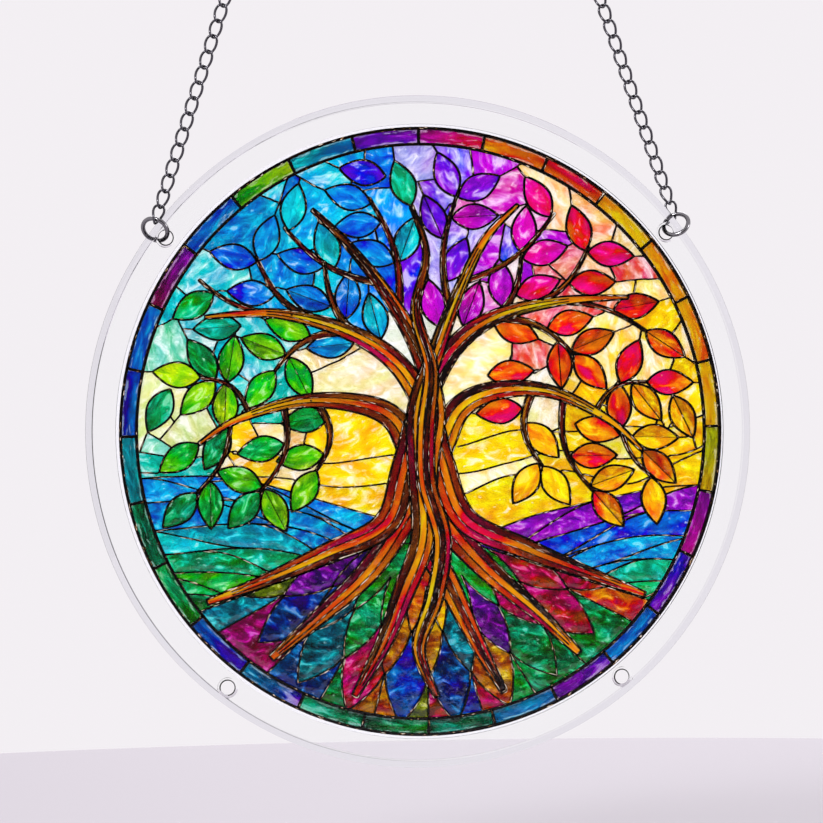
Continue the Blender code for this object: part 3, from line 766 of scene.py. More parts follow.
# Border colours rightwards from the top joint, each strip from one end to the other
BORDER_COLOURS = [
    ("#a02890", "#d83a70"), ("#e8641a", "#e23c16"), ("#d8201a", "#e04a18"), ("#f0981c", "#f4b81e"),
    ("#ee7c18", "#f29a1c"), ("#f4b41e", "#ee8a1a"), ("#f2c822", "#e8a41c"), ("#a8a41e", "#cfae1e"),
    ("#8a2a94", "#b4328a"), ("#4a38b4", "#6a34ac"), ("#1f50c0", "#2a6ad0"), ("#6230a8", "#7c389c"),
    ("#1f5cb8", "#17849c"), ("#14704a", "#0f5c48"), ("#1a7c3c", "#135e48"), ("#14704c", "#1a8a44"),
    ("#4a2c9c", "#1a7c94"), ("#1c3c9c", "#2448ac"), ("#1c843c", "#2a9a3c"), ("#12603c", "#166e44"),
    ("#14848c", "#1a98a4"), ("#1a3aa8", "#2450b8"), ("#1a6ac8", "#1f84d0"), ("#8c1c5c", "#6a2890"),
    ("#1c60c8", "#2078d0"), ("#3a9c2e", "#9ccc22"), ("#1690a4", "#1c9cc0"), ("#4c30b4", "#6c30a8"),
]


def zone_colour(zones, angle, draw):
    """A colour for an angle in degrees from the nearest zone, which blur into each other a little."""
    angle += draw.uniform(-ZONE_BLUR, ZONE_BLUR)
    return linear(draw.choice(min(zones, key=lambda zone: abs(zone[0] - angle))[1]))


def canopy_angle(x, y):
    """Degrees round the fork from +x, from -90 to 270."""
    angle = math.degrees(math.atan2(y - FORK[1], x - FORK[0]))
    return angle + 360 if angle < -90 else angle


def glass_colour(x, y, draw):
    """The colour of a pane behind the tree, by where its middle is."""
    depth = (horizon(x) - y) / HILL_DEPTH
    if y < ground_top(x):
        shades = GROUND_COLOURS
    elif depth > 0:
        hills = HILLS_LEFT if x < 0 else HILLS_RIGHT
        shades = hills[min(int(depth), len(hills) - 1)]
    elif y < LOW_SKY[0] and abs(x) < LOW_SKY[1]:
        shades = SKY_LEFT if x < 0 else SKY_RIGHT
    elif math.hypot(x - FORK[0], y - FORK[1]) < NEAR_FORK:
        shades = FORK_GLASS
    else:
        return zone_colour(CANOPY_GLASS, canopy_angle(x, y), draw)
    return linear(draw.choice(shades))


def strand_place(points, path):
    """For each point its length along a path, its distance aside as a share of the half width, and that."""
    line = np.array(path)
    start, run = line[:-1, :2], np.diff(line[:, :2], axis=0)
    length = np.hypot(*run.T)
    flat = points.reshape(-1, 1, 2)
    t = np.clip(((flat - start) * run).sum(2) / length**2, 0, 1)
    gap = flat - (start + run * t[..., None])
    nearest = np.hypot(gap[..., 0], gap[..., 1]).argmin(1)
    rows = np.arange(len(flat))
    t, gap = t[rows, nearest], gap[rows, nearest]
    course = run[nearest] / length[nearest, None]
    aside = course[:, 0] * gap[:, 1] - course[:, 1] * gap[:, 0]
    half = line[nearest, 2] + (line[nearest + 1, 2] - line[nearest, 2]) * t
    along = np.concatenate([[0], np.cumsum(length)])[nearest] + length[nearest] * t
    return [values.reshape(points.shape[:-1]) for values in (along, aside / half, half)]


def glass_cells(faces, walls, free):
    """The panes behind the tree, each as every free triangle reached without crossing a line."""
    beside = {}
    for number in free:
        face = faces[number]
        for a, b in zip(face, face[1:] + face[:1]):
            beside.setdefault((min(a, b), max(a, b)), []).append(number)
    cell_of = {number: [number] for number in free}
    for edge, pair in beside.items():
        small, large = sorted((cell_of[pair[0]], cell_of[pair[-1]]), key=len)
        if edge not in walls and small is not large:
            large += small
            cell_of.update((number, large) for number in small)
    return list({id(cell): sorted(cell) for cell in cell_of.values()}.values())


def paint_leaf(leaf, corners, middles, draw):
    """A leaf's colour, which may run into another towards its tip, and is deeper on one side of a vein."""
    base, turn = leaf["place"]
    angle = canopy_angle(*on_leaf(base, turn, 0.5))
    first, second = (np.array(zone_colour(LEAF_COLOURS, angle, draw)) for _ in range(2))
    if draw.random() < PLAIN_LEAVES:
        second = first
    shade = draw.uniform(*VEIN_SHADE) if leaf["veined"] else 1
    c, s = math.cos(turn), math.sin(turn)
    x, y = np.moveaxis(corners - base, -1, 0)
    share = np.clip((x * c + y * s) / LEAF_LENGTH, 0, 1)[..., None] ** TIP_BLEND_POWER
    colours = first + (second - first) * share * TIP_BLEND
    colours[(middles - base) @ (-s, c) > 0] *= shade
    return colours, x * c + y * s, y * c - x * s


def paint_wood(wood, corners, middles, draw):
    """Three bands of brown down a strand, which run together where it is thin."""
    order = list(WOOD_BANDS)
    draw.shuffle(order)
    if wood["kind"] == "twig":
        order = [TWIG_BROWNS] * 3
    bands = np.array([[linear(draw.choice(browns)) for _ in range(BAND_STOPS)] for browns in order])
    along, aside, half = strand_place(corners, wood["path"])
    band = np.searchsorted(STREAKS, strand_place(middles, wood["path"])[1])[:, None]
    place = np.clip(along / along.max(initial=LINE_STEP), 0, 1) * (BAND_STOPS - 1)
    step = np.minimum(place.astype(int), BAND_STOPS - 2)
    share = (place - step)[..., None]
    middle, banded = (bands[row, step] * (1 - share) + bands[row, step + 1] * share for row in (1, band))
    parted = np.clip((half - STREAK_FROM) / STREAK_FADE, 0, 1)[..., None]
    return middle + (banded - middle) * parted, along, aside


def paint_panes(vertices, walls, faces, shapes, draw):
    """A colour and a flow place for every corner of every triangle, and whether the triangle is wood."""
    corners = np.array(vertices)[np.array(faces)]
    middles = corners.mean(1)
    owner = np.full(len(faces), -1)
    for number in range(len(shapes) - 1, -1, -1):
        owner[inside(middles, shapes[number]["outline"])] = number
    colours, flow = np.zeros((2, len(faces), 3, 3))
    wood = np.zeros(len(faces), bool)
    for number, shape in enumerate(shapes):
        own = np.flatnonzero(owner == number)
        wood[own] = shape["kind"] != "leaf"
        paint, stretch = (paint_leaf, LEAF_FLOW) if shape["kind"] == "leaf" else (paint_wood, WOOD_FLOW)
        long, wide, first = stretch
        colours[own], along, aside = paint(shape, corners[own], middles[own], draw)
        flow[own] = np.stack([along * long, aside * wide, np.full(along.shape, first + number)], -1)
    long, wide, first = GLASS_FLOW
    for number, cell in enumerate(glass_cells(faces, walls, np.flatnonzero(owner < 0).tolist())):
        x, y = middles[cell].mean(0)
        colours[cell] = np.array(glass_colour(x, y, draw)) * draw.uniform(*GLASS_SHADE)
        turn = draw.uniform(-LOW_FLOW_TURN, LOW_FLOW_TURN) if y < 0 else draw.uniform(0, math.pi)
        c, s = math.cos(turn), math.sin(turn)
        flow[cell, :, :2] = corners[cell] @ np.array([[c, -s], [s, c]]) * (long, wide)
        flow[cell, :, 2] = first + number
    return np.clip(colours, 0, 1), flow, wood


# Meshes and modifiers


def upright():
    """Stands a shape that was laid out flat on the sheet's face."""
    stand = Matrix.Rotation(math.radians(90), 4, "X")
    return Matrix.Translation((DISC_CENTRE.x, SHEET_FACE, DISC_CENTRE.z)) @ stand


def new_object(name, mesh):
    ob = bpy.data.objects.new(name, mesh)
    bpy.context.scene.collection.objects.link(ob)
    return ob


def as_plain_mesh(ob, place=None):
    """Turns what an object shows into its own mesh, with its modifiers gone and its place in the mesh."""
    bpy.context.view_layer.update()
    shown = ob.evaluated_get(bpy.context.evaluated_depsgraph_get())
    mesh = bpy.data.meshes.new_from_object(shown)
    mesh.transform((place or Matrix.Identity(4)) @ ob.matrix_world)
    name = ob.name
    bpy.data.objects.remove(ob, do_unlink=True)
    made = new_object(name, mesh)
    mesh.name = name
    return made


def smooth_shaded(ob, angle=40):
    ob.data.shade_smooth()
    ob.data.set_sharp_from_angle(angle=math.radians(angle))
    return ob


def finish_piece(ob, slot, *nodes):
    """Rides a finished piece on the body and hides the solids that it stands for; the slot is not used."""
    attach(ob, "root")
    if nodes:
        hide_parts(*nodes)
    return ob


def new_tree(name, sizes):
    """A Geometry Nodes tree with a geometry input and output, and inputs for its sizes and its material."""
    tree = bpy.data.node_groups.new(name, "GeometryNodeTree")
    inputs = {"Geometry": "Geometry", **{size: "Float" for size in sizes}, "Material": "Material"}
    for title, kind in inputs.items():
        tree.interface.new_socket(title, in_out="INPUT", socket_type="NodeSocket" + kind)
    tree.interface.new_socket("Geometry", in_out="OUTPUT", socket_type="NodeSocketGeometry")
    return tree, add_node(tree, "NodeGroupInput").outputs


def apply_tree(ob, tree, values):
    """Puts a tree on an object and sets its inputs by the sockets' identifiers."""
    sockets = {s.name: s.identifier for s in tree.interface.items_tree if s.in_out == "INPUT"}
    modifier = ob.modifiers.new(tree.name, "NODES")
    modifier.node_group = tree
    for title, value in values.items():
        modifier[sockets[title]] = value
    return ob


def end_tree(tree, geometry, finish):
    """Smooths, realises and gives the material, then puts the geometry out."""
    shaded = add_node(tree, "GeometryNodeSetShadeSmooth", {"Geometry": geometry})
    real = add_node(tree, "GeometryNodeRealizeInstances", {"Geometry": shaded})
    dressed = add_node(tree, "GeometryNodeSetMaterial", {"Geometry": real, "Material": finish})
    add_node(tree, "NodeGroupOutput", {"Geometry": dressed})
    return tree


SAME_POINT = 0.001 * MM


def bar_tree():
    """Sweeps a bar with two rounded shoulders along every line of a flat drawing."""
    tree, given = new_tree("Rounded bar", ("Half Width", "Height", "Depth", "Shoulder"))
    width = add_node(tree, "ShaderNodeMath", {0: given["Half Width"], 1: 2.0}, operation="MULTIPLY")
    tall = add_node(tree, "ShaderNodeMath", {0: given["Height"], 1: given["Depth"]}, operation="ADD")
    sides = {"Width": width, "Height": tall}
    box = add_node(tree, "GeometryNodeCurvePrimitiveQuadrilateral", sides, mode="RECTANGLE")
    spot = add_node(tree, "GeometryNodeInputPosition")
    x, y, _ = add_node(tree, "ShaderNodeSeparateXYZ", {"Vector": spot}).outputs
    upper = add_node(tree, "ShaderNodeMath", {0: y, 1: 0.0}, operation="GREATER_THAN")
    reach = add_node(tree, "ShaderNodeMath", {0: upper, 1: given["Shoulder"]}, operation="MULTIPLY")
    shoulders = {"Curve": box, "Radius": reach, "Limit Radius": True, "Count": 2}
    rounded = add_node(tree, "GeometryNodeFilletCurve", shoulders, mode="POLY")
    wire = add_node(tree, "GeometryNodeCurveToMesh", {"Curve": rounded})
    merged = add_node(tree, "GeometryNodeMergeByDistance", {"Geometry": wire, "Distance": SAME_POINT})
    outline = add_node(tree, "GeometryNodeMeshToCurve", {"Mesh": merged})
    lift = add_node(tree, "ShaderNodeMath", {0: given["Height"], 1: given["Depth"]}, operation="SUBTRACT")
    half_lift = add_node(tree, "ShaderNodeMath", {0: lift, 1: 0.5}, operation="MULTIPLY")
    shift = add_node(tree, "ShaderNodeCombineXYZ", {"Y": half_lift})
    flank = add_node(tree, "ShaderNodeMath", {0: x, 1: given["Half Width"]}, operation="DIVIDE")
    across = {"Geometry": outline, "Name": "Across", "Value": flank}
    sided = add_node(tree, "GeometryNodeStoreNamedAttribute", across)
    section = add_node(tree, "GeometryNodeTransform", {"Geometry": sided, "Translation": shift})
    lines = add_node(tree, "GeometryNodeMeshToCurve", {"Mesh": given["Geometry"]})
    length = add_node(tree, "GeometryNodeSplineParameter").outputs["Length"]
    along = {"Geometry": lines, "Name": "Along", "Value": length}
    measured = add_node(tree, "GeometryNodeStoreNamedAttribute", along)
    level = add_node(tree, "GeometryNodeSetCurveNormal", {"Curve": measured}, mode="Z_UP")
    sweep = {"Curve": level, "Profile Curve": section, "Fill Caps": True}
    return end_tree(tree, add_node(tree, "GeometryNodeCurveToMesh", sweep), given["Material"])


LINK_STEPS = 32
LINK_SIDES = 10


def link_tree():
    """Sets one twisted wire link on every point of a line, each turned about the line by its own angle."""
    tree, given = new_tree("Curb links", ("Half Length", "Half Width", "Twist", "Wire Radius"))
    ring = add_node(tree, "GeometryNodeCurvePrimitiveCircle", {"Resolution": LINK_STEPS, "Radius": 1.0})
    spot = add_node(tree, "GeometryNodeInputPosition")
    x, y, _ = add_node(tree, "ShaderNodeSeparateXYZ", {"Vector": spot}).outputs
    cross = add_node(tree, "ShaderNodeMath", {0: x, 1: y}, operation="MULTIPLY")
    twisted = add_node(tree, "ShaderNodeCombineXYZ", {"X": x, "Y": y, "Z": cross})
    reaches = {"X": given["Half Length"], "Y": given["Half Width"], "Z": given["Twist"]}
    size = add_node(tree, "ShaderNodeCombineXYZ", reaches)
    place = add_node(tree, "ShaderNodeVectorMath", {0: twisted, 1: size}, operation="MULTIPLY")
    shaped = add_node(tree, "GeometryNodeSetPosition", {"Geometry": ring, "Position": place})
    wire = {"Resolution": LINK_SIDES, "Radius": given["Wire Radius"]}
    section = add_node(tree, "GeometryNodeCurvePrimitiveCircle", wire)
    link = add_node(tree, "GeometryNodeCurveToMesh", {"Curve": shaped, "Profile Curve": section})
    turn = add_node(tree, "GeometryNodeInputNamedAttribute", {"Name": "turn"}, data_type="FLOAT")
    angles = add_node(tree, "ShaderNodeCombineXYZ", {"X": turn})
    spin = add_node(tree, "FunctionNodeEulerToRotation", {"Euler": angles})
    chain = {"Points": given["Geometry"], "Instance": link, "Rotation": spin}
    links = add_node(tree, "GeometryNodeInstanceOnPoints", chain)
    return end_tree(tree, links, given["Material"])


# Materials


def new_material(name, settings):
    """A material and its shader, with plain values set on the shader's own sockets."""
    made = bpy.data.materials.new(name)
    made.use_nodes = True
    return made, made.node_tree, feed(made.node_tree.nodes["Principled BSDF"], settings)


def clear_acrylic(name, shade):
    """Polished cast acrylic: water-clear. An edge is given a slightly grey colour, painted shade that draws
    the edges as fine grey lines and tones down the light through the stained sheet's rim.
    """
    look = {"Base Color": (*linear(shade), 1), "Roughness": 0.02, "IOR": 1.49, "Transmission Weight": 1.0}
    return new_material(name, look)[0]


def grain(tree, size, detail):
    """Noise through the whole material, its lumps about as large as the size given."""
    place = add_node(tree, "ShaderNodeTexCoord").outputs["Object"]
    return add_node(tree, "ShaderNodeTexNoise", {"Vector": place, "Scale": 1 / size, "Detail": detail})


def dent(tree, shader, size, detail, depth):
    """Shallow dents or ripples all over a surface."""
    waves = {"Height": grain(tree, size, detail), "Strength": 0.6, "Distance": depth}
    feed(shader, {"Normal": add_node(tree, "ShaderNodeBump", waves)})


PANE_MOTTLE = 2.7 * MM
PANE_DRIFT = 4.5 * MM
# Painted glints: the size of their flecks, how many more lie along the border strips' bevelled edges as a
# painted highlight, and how pale they are.
PANE_FLECK = 0.9 * MM
PAINTED_EDGE_GLINTS = 0.18
FLECK_PALENESS = 0.22
PANE_RIPPLE = 2.2 * MM
PANE_RIPPLE_DEPTH = 0.25 * MM


def stained_glass(name, rough, clear, coat, pale, deep, share):
    """Rolled cathedral glass: poured colour that pools deep and pale, with a rippled fire-polished face, and
    pale flecks of its own hue painted in as glints, more of them along the border strips' long edges as
    painted highlights on their bevels.
    """
    look = {"Roughness": rough, "IOR": 1.5, "Transmission Weight": clear, "Coat Weight": coat}
    made, tree, shader = new_material(name, look)
    colour = add_node(tree, "ShaderNodeAttribute", attribute_name="Pane")
    flow = add_node(tree, "ShaderNodeAttribute", attribute_name="Flow").outputs["Vector"]
    pooling = {"Vector": flow, "Scale": MM / PANE_MOTTLE, "Detail": 3.5, "Distortion": 0.8}
    pools = add_node(tree, "ShaderNodeTexNoise", pooling)
    depths = {"Value": pools, "From Min": 0.36, "From Max": 0.66, "To Min": deep, "To Max": pale}
    depth = add_node(tree, "ShaderNodeMapRange", depths)
    pooled = add_node(tree, "ShaderNodeGamma", {"Color": colour, "Gamma": depth})
    drift = add_node(tree, "ShaderNodeTexNoise", {"Vector": flow, "Scale": MM / PANE_DRIFT, "Detail": 1.0})
    hues = {"Value": drift, "From Min": 0.3, "From Max": 0.7, "To Min": 0.465, "To Max": 0.535}
    hue = add_node(tree, "ShaderNodeMapRange", hues)
    toned = add_node(tree, "ShaderNodeHueSaturation", {"Color": pooled, "Hue": hue, "Saturation": 1.3})
    # Painted glints: pale flecks of the pane's own hue scattered in its colour.
    fleck = {"Vector": flow, "Scale": MM / PANE_FLECK, "Detail": 2.0, "Distortion": 0.4}
    flecks = add_node(tree, "ShaderNodeTexNoise", fleck)
    # More painted glints along the border strips' long edges, a painted highlight on their bevels.
    across = add_node(tree, "ShaderNodeAttribute", attribute_name="Across").outputs["Fac"]
    aside = add_node(tree, "ShaderNodeMath", {0: across}, operation="ABSOLUTE")
    edges = {"Value": aside, "From Min": 0.55, "From Max": 0.80, "To Max": PAINTED_EDGE_GLINTS}
    edge = add_node(tree, "ShaderNodeMapRange", edges)
    lifted = add_node(tree, "ShaderNodeMath", {0: flecks, 1: edge}, operation="ADD")
    summits = {"Value": lifted, "From Min": 0.66, "From Max": 0.76, "To Max": share}
    painted_glints = add_node(tree, "ShaderNodeMapRange", summits)
    painted_glint_colour = add_node(tree, "ShaderNodeGamma", {"Color": colour, "Gamma": FLECK_PALENESS})
    flecked = add_node(tree, "ShaderNodeMix", data_type="RGBA")
    feed(flecked, {0: painted_glints, 6: toned, 7: painted_glint_colour})
    feed(shader, {"Base Color": flecked.outputs[2]})
    dent(tree, shader, PANE_RIPPLE, 2.5, PANE_RIPPLE_DEPTH)
    return made


# Painted highlights: amber and near-white dashes in the lines' colour along their sides, standing in for
# glints of light.
GLINT_SIDES = 1.1
PAINTED_GLINT_STOPS = ((0.03, "#4a260e"), (0.06, "#c48c44"), (0.09, "#fff8ea"))
LINE_DENT = 0.9 * MM
LINE_DENT_DEPTH = 0.15 * MM
RUN_STEP = 3.7


def lead_line(name, glint_length, bare):
    """Black-patina relief line: dark, glossy and dented, with painted highlights: broken amber and silver
    glints painted into its colour along its sides.
    """
    made, tree, shader = new_material(name, {"Metallic": 0.3, "Roughness": 0.18})
    along, across, run = (
        add_node(tree, "ShaderNodeAttribute", attribute_name=title).outputs["Fac"]
        for title in ("Along", "Across", "Run")
    )
    length = add_node(tree, "ShaderNodeMath", {0: along, 1: 1 / glint_length}, operation="MULTIPLY")
    side = add_node(tree, "ShaderNodeMath", {0: across, 1: GLINT_SIDES}, operation="MULTIPLY")
    spot = add_node(tree, "ShaderNodeCombineXYZ", {"X": length, "Y": side, "Z": run})
    patches = {"Vector": spot, "Scale": 1.0, "Detail": 2.0, "Distortion": 0.2}
    ramp = add_node(tree, "ShaderNodeValToRGB", {"Fac": add_node(tree, "ShaderNodeTexNoise", patches)})
    # Past the bare stretch the ramp climbs to the painted glints.
    stops = [(0.0, "#040303"), (bare, "#080504")] + [(bare + beyond, shade) for beyond, shade in PAINTED_GLINT_STOPS]
    while len(ramp.color_ramp.elements) < len(stops):
        ramp.color_ramp.elements.new(0.5)
    for stop, (where, shade) in zip(ramp.color_ramp.elements, stops):
        stop.position = where
        stop.color = (*linear(shade), 1)
    feed(shader, {"Base Color": ramp})
    dent(tree, shader, LINE_DENT, 1.0, LINE_DENT_DEPTH)
    return made


def gunmetal(name, shade):
    """Polished black-nickel steel wire: dark mirror with fine drawing marks."""
    made, tree, shader = new_material(name, {"Metallic": 1.0, "Base Color": (*linear(shade), 1)})
    marks = {"Value": grain(tree, 0.5 * MM, 3.0), "To Min": 0.10, "To Max": 0.28}
    feed(shader, {"Roughness": add_node(tree, "ShaderNodeMapRange", marks)})
    return made


# The pieces

RIPPLE_SEED = 2.5


def make_sheet(cut, shapes, draw, finishes):
    """The stained sheet: panes that rise from their lines, a flat back and a clear rim."""
    vertices, walls, faces, tree = cut
    colours, flow, wood = paint_panes(vertices, walls, faces, shapes, draw)
    points = []
    for x, y in vertices:
        t = min(1, tree.find((x, y, 0))[2] * PICTURE_RADIUS / PANE_EDGE)
        x, y = x * PICTURE_RADIUS, y * PICTURE_RADIUS
        ripple = RIPPLE * noise.noise((x / RIPPLE_SIZE, y / RIPPLE_SIZE, RIPPLE_SEED)) * t
        points.append((x, y, PANE_RISE * (1 - (1 - t) ** 2) + ripple))
    count = len(points)
    points += [(x, y, -SHEET_THICKNESS) for x, y, _ in points]
    all_faces = faces + [[i + count for i in face[::-1]] for face in faces]
    directed = dict.fromkeys(pair for face in faces for pair in zip(face, face[1:] + face[:1]))
    grow = SHEET_RADIUS / PICTURE_RADIUS
    rim = {}
    for a, b in [(a, b) for a, b in directed if (b, a) not in directed]:
        for corner in (a, b):
            if corner not in rim:
                rim[corner] = len(points)
                x, y = (place * PICTURE_RADIUS * grow for place in vertices[corner])
                points += [(x, y, 0), (x, y, -SHEET_THICKNESS)]
        a_out, b_out = rim[a], rim[b]
        all_faces += [(b, a, a_out, b_out), (a + count, b + count, b_out + 1, a_out + 1)]
        all_faces.append((b_out, a_out, a_out + 1, b_out + 1))
    mesh = bpy.data.meshes.new("stained_sheet")
    mesh.from_pydata(points, [], all_faces)
    shades = np.ones((len(mesh.loops), 4), np.float32)
    places = np.zeros((len(mesh.loops), 3), np.float32)
    for values, painted in ((shades, colours), (places, flow * (PICTURE_RADIUS / MM))):
        both = np.concatenate([painted, painted[:, ::-1]]).reshape(-1, 3)
        values[: len(both), :3] = both
    mesh.attributes.new("Pane", "FLOAT_COLOR", "CORNER").data.foreach_set("color", shades.ravel())
    mesh.attributes.new("Flow", "FLOAT_VECTOR", "CORNER").data.foreach_set("vector", places.ravel())
    slots = np.full(len(all_faces), 2, np.int32)
    slots[: 2 * len(faces)] = np.tile(wood, 2)
    for finish in finishes:
        mesh.materials.append(finish)
    mesh.polygons.foreach_set("material_index", slots)
    mesh.transform(upright())
    mesh.update()
    sheet = smooth_shaded(new_object("stained_sheet", mesh))
    return finish_piece(sheet, "stained_colours", "picture_roundel")


def drawing(name, runs):
    """A flat drawing of open lines in metres, as edges only, with a number for each line."""
    points, edges, numbers = [], [], []
    for number, run in enumerate(runs):
        edges += [(len(points) + i, len(points) + i + 1) for i in range(len(run) - 1)]
        points += [(x, y, 0) for x, y in run]
        numbers += [number * RUN_STEP] * len(run)
    mesh = bpy.data.meshes.new(name)
    mesh.from_pydata(points, edges, [])
    mesh.attributes.new("Run", "FLOAT", "POINT").data.foreach_set("value", numbers)
    return new_object(name, mesh)


def circle_run(radius, steps=RING_STEPS):
    turns = [2 * math.pi * k / steps for k in range(steps + 1)]
    return [(radius * math.cos(turn), radius * math.sin(turn)) for turn in turns]


LINE_PIECES = {
    "border_lines": ("ring",),
    "tree_lines": ("wood", "twig"),
    "leaf_lines": ("leaf", "vein"),
    "glass_lines": ("streak", "sky"),
}
# Pieces whose lines take the material with longer and more painted glints.
LONG_GLINT_PIECES = ("tree_lines", "glass_lines")


def make_lines(lines, bars, thin, long_glint_finish):
    """The raised lines, each kind swept at its own width and height."""
    middle = PICTURE_RADIUS + LINES["ring"][0]
    outer = BORDER_RADIUS - LINES["ring"][0]
    rings = [circle_run(middle), circle_run(outer)]
    for k in range(BORDER_STRIPS):
        turn = math.pi / 2 - 2 * math.pi * k / BORDER_STRIPS
        rings.append([(r * math.cos(turn), r * math.sin(turn)) for r in (middle, outer)])
    for name, kinds in LINE_PIECES.items():
        bm = bmesh.new()
        for kind in kinds:
            runs = rings if kind == "ring" else [run * PICTURE_RADIUS for run in lines[kind]]
            half, height = LINES[kind]
            sizes = {"Half Width": half, "Shoulder": half, "Height": height, "Depth": LINE_DEPTH}
            part = as_plain_mesh(apply_tree(drawing(kind, runs), bars, sizes), upright())
            bm.from_mesh(part.data)
            bpy.data.objects.remove(part, do_unlink=True)
        mesh = bpy.data.meshes.new(name)
        bm.to_mesh(mesh)
        bm.free()
        # The tree's and the glass's lines take the longer painted glints.
        mesh.materials.append(long_glint_finish if name in LONG_GLINT_PIECES else thin)
        finish_piece(smooth_shaded(new_object(name, mesh)), "stained_colours")


STRIP_STEPS = 14
STRIP_SIZES = {"Height": 0.40 * MM, "Depth": 0.02 * MM, "Shoulder": 0.30 * MM}
BORDER_FLOW_STRETCH = 0.28
BORDER_FLOW = 5.0


def make_border(bars, finish):
    """The border's glass strips, each with bevelled long edges and its own run of colour."""
    low = PICTURE_RADIUS + 2 * LINES["ring"][0]
    high = BORDER_RADIUS - 2 * LINES["ring"][0]
    middle = (low + high) / 2
    gap = LINES["ring"][0] / middle
    points, edges, shades = [], [], []
    for k, (first, last) in enumerate(BORDER_COLOURS):
        edges += [(len(points) + i, len(points) + i + 1) for i in range(STRIP_STEPS)]
        for step in range(STRIP_STEPS + 1):
            t = step / STRIP_STEPS
            turn = math.pi / 2 - 2 * math.pi * k / BORDER_STRIPS - gap
            turn -= t * (2 * math.pi / BORDER_STRIPS - 2 * gap)
            points.append((middle * math.cos(turn), middle * math.sin(turn), 0))
            shades += [*mixed(linear(first), linear(last), t), 1]
    mesh = bpy.data.meshes.new("border_strips")
    mesh.from_pydata(points, edges, [])
    mesh.attributes.new("Pane", "FLOAT_COLOR", "POINT").data.foreach_set("color", shades)
    strips = new_object("border_strips", mesh)
    sizes = {**STRIP_SIZES, "Half Width": (high - low) / 2, "Material": finish}
    strips = as_plain_mesh(apply_tree(strips, bars, sizes))
    flow = []
    for x, y, _ in (v.co for v in strips.data.vertices):
        flow += [math.atan2(y, x) * middle / MM * BORDER_FLOW_STRETCH, math.hypot(x, y) / MM, BORDER_FLOW]
    strips.data.attributes.new("Flow", "FLOAT_VECTOR", "POINT").data.foreach_set("vector", flow)
    strips.data.transform(upright())
    return finish_piece(smooth_shaded(strips), "stained_colours")


def turned(name, profile, sides):
    """A turned solid round Z from a profile of radius and height, listed top to bottom."""
    mesh = bpy.data.meshes.new(name)
    mesh.from_pydata([(r, 0, z) for r, z in profile], [(i, i + 1) for i in range(len(profile) - 1)], [])
    ob = new_object(name, mesh)
    screw = ob.modifiers.new("Turn", "SCREW")
    screw.steps = sides
    screw.render_steps = sides
    screw.use_merge_vertices = True
    screw.merge_threshold = 1e-5
    return ob


DISC_SIDES = 288
HOLE_SIDES = 48
EDGE_SOFTNESS = 0.15 * MM
FACET = 0.28 * MM
FACET_DEPTH = 0.9 * FACET
EDGE_FACING = 0.2
HOLES = [(side, UPPER_HOLE_ANGLE, 1) for side in (-1, 1)] + [(side, LOWER_HOLE_ANGLE, -1) for side in (-1, 1)]


def make_disc(finish, shaded_edge_finish):
    """The clear disc with its polished bevels, softened edges and four countersunk holes."""
    half = DISC_THICKNESS / 2
    flat = DISC_RADIUS - BEVEL_WIDTH
    top = [(0, half), (flat - FACET, half), (flat, half - FACET_DEPTH)]
    top.append((DISC_RADIUS - EDGE_SOFTNESS, half - BEVEL_DEPTH + EDGE_SOFTNESS / 4))
    top.append((DISC_RADIUS, half - BEVEL_DEPTH - EDGE_SOFTNESS / 2))
    disc = turned("clear_disc", top + [(r, -z) for r, z in reversed(top)], DISC_SIDES)
    sink = SINK_RADIUS - BORE_RADIUS
    cut = [(0, half + sink), (SINK_RADIUS + sink, half + sink), (BORE_RADIUS, half - sink)]
    cut += [(r, -z) for r, z in reversed(cut)]
    stand = Matrix.Rotation(math.radians(90), 4, "X")
    disc.matrix_world = Matrix.Translation(DISC_CENTRE) @ stand
    cutters = []
    for number, (side, angle, up) in enumerate(HOLES):
        place = DISC_CENTRE + Vector((side * math.sin(angle), 0, up * math.cos(angle))) * HOLE_RADIUS
        cutter = turned(f"hole_{number}", cut, HOLE_SIDES)
        cutter.matrix_world = Matrix.Translation(place) @ stand
        drill = disc.modifiers.new(cutter.name, "BOOLEAN")
        drill.operation = "DIFFERENCE"
        drill.object = cutter
        cutters.append(cutter)
    disc.data.materials.append(finish)
    disc = as_plain_mesh(disc)
    for cutter in cutters:
        bpy.data.objects.remove(cutter, do_unlink=True)
    # The outward faces take the grey edge finish, painted shade that draws the rim as fine lines.
    disc.data.materials.append(shaded_edge_finish)
    for face in disc.data.polygons:
        outward = (face.center - DISC_CENTRE) * Vector((1, 0, 1))
        on_edge = outward.length > flat - FACET and face.normal.dot(outward) > EDGE_FACING * outward.length
        face.material_index = int(on_edge)
    return finish_piece(smooth_shaded(disc, 12), "clear_acrylic", "acrylic_disc")


def jump_ring_axes(side):
    """A jump ring's radial direction, its direction across that in its own plane, and its axis."""
    radial = Vector((side * math.sin(UPPER_HOLE_ANGLE), 0, math.cos(UPPER_HOLE_ANGLE)))
    along_rim = Vector((-side * math.cos(UPPER_HOLE_ANGLE), 0, math.sin(UPPER_HOLE_ANGLE)))
    across = along_rim * math.cos(JUMP_RING_TURN) + Vector((0, side, 0)) * math.sin(JUMP_RING_TURN)
    return radial, across, radial.cross(across)


def pull_on_ring(side, lean):
    """Where a leaning chain bears on its jump ring, from the disc's centre, and the wire's direction."""
    radial, across, axis = jump_ring_axes(side)
    pull = Vector((-side * math.sin(lean), 0, math.cos(lean)))
    outward = (radial * pull.dot(radial) + across * pull.dot(across)).normalized()
    return radial * (HOLE_RADIUS + JUMP_LOOP) + outward * JUMP_LOOP, axis.cross(outward)


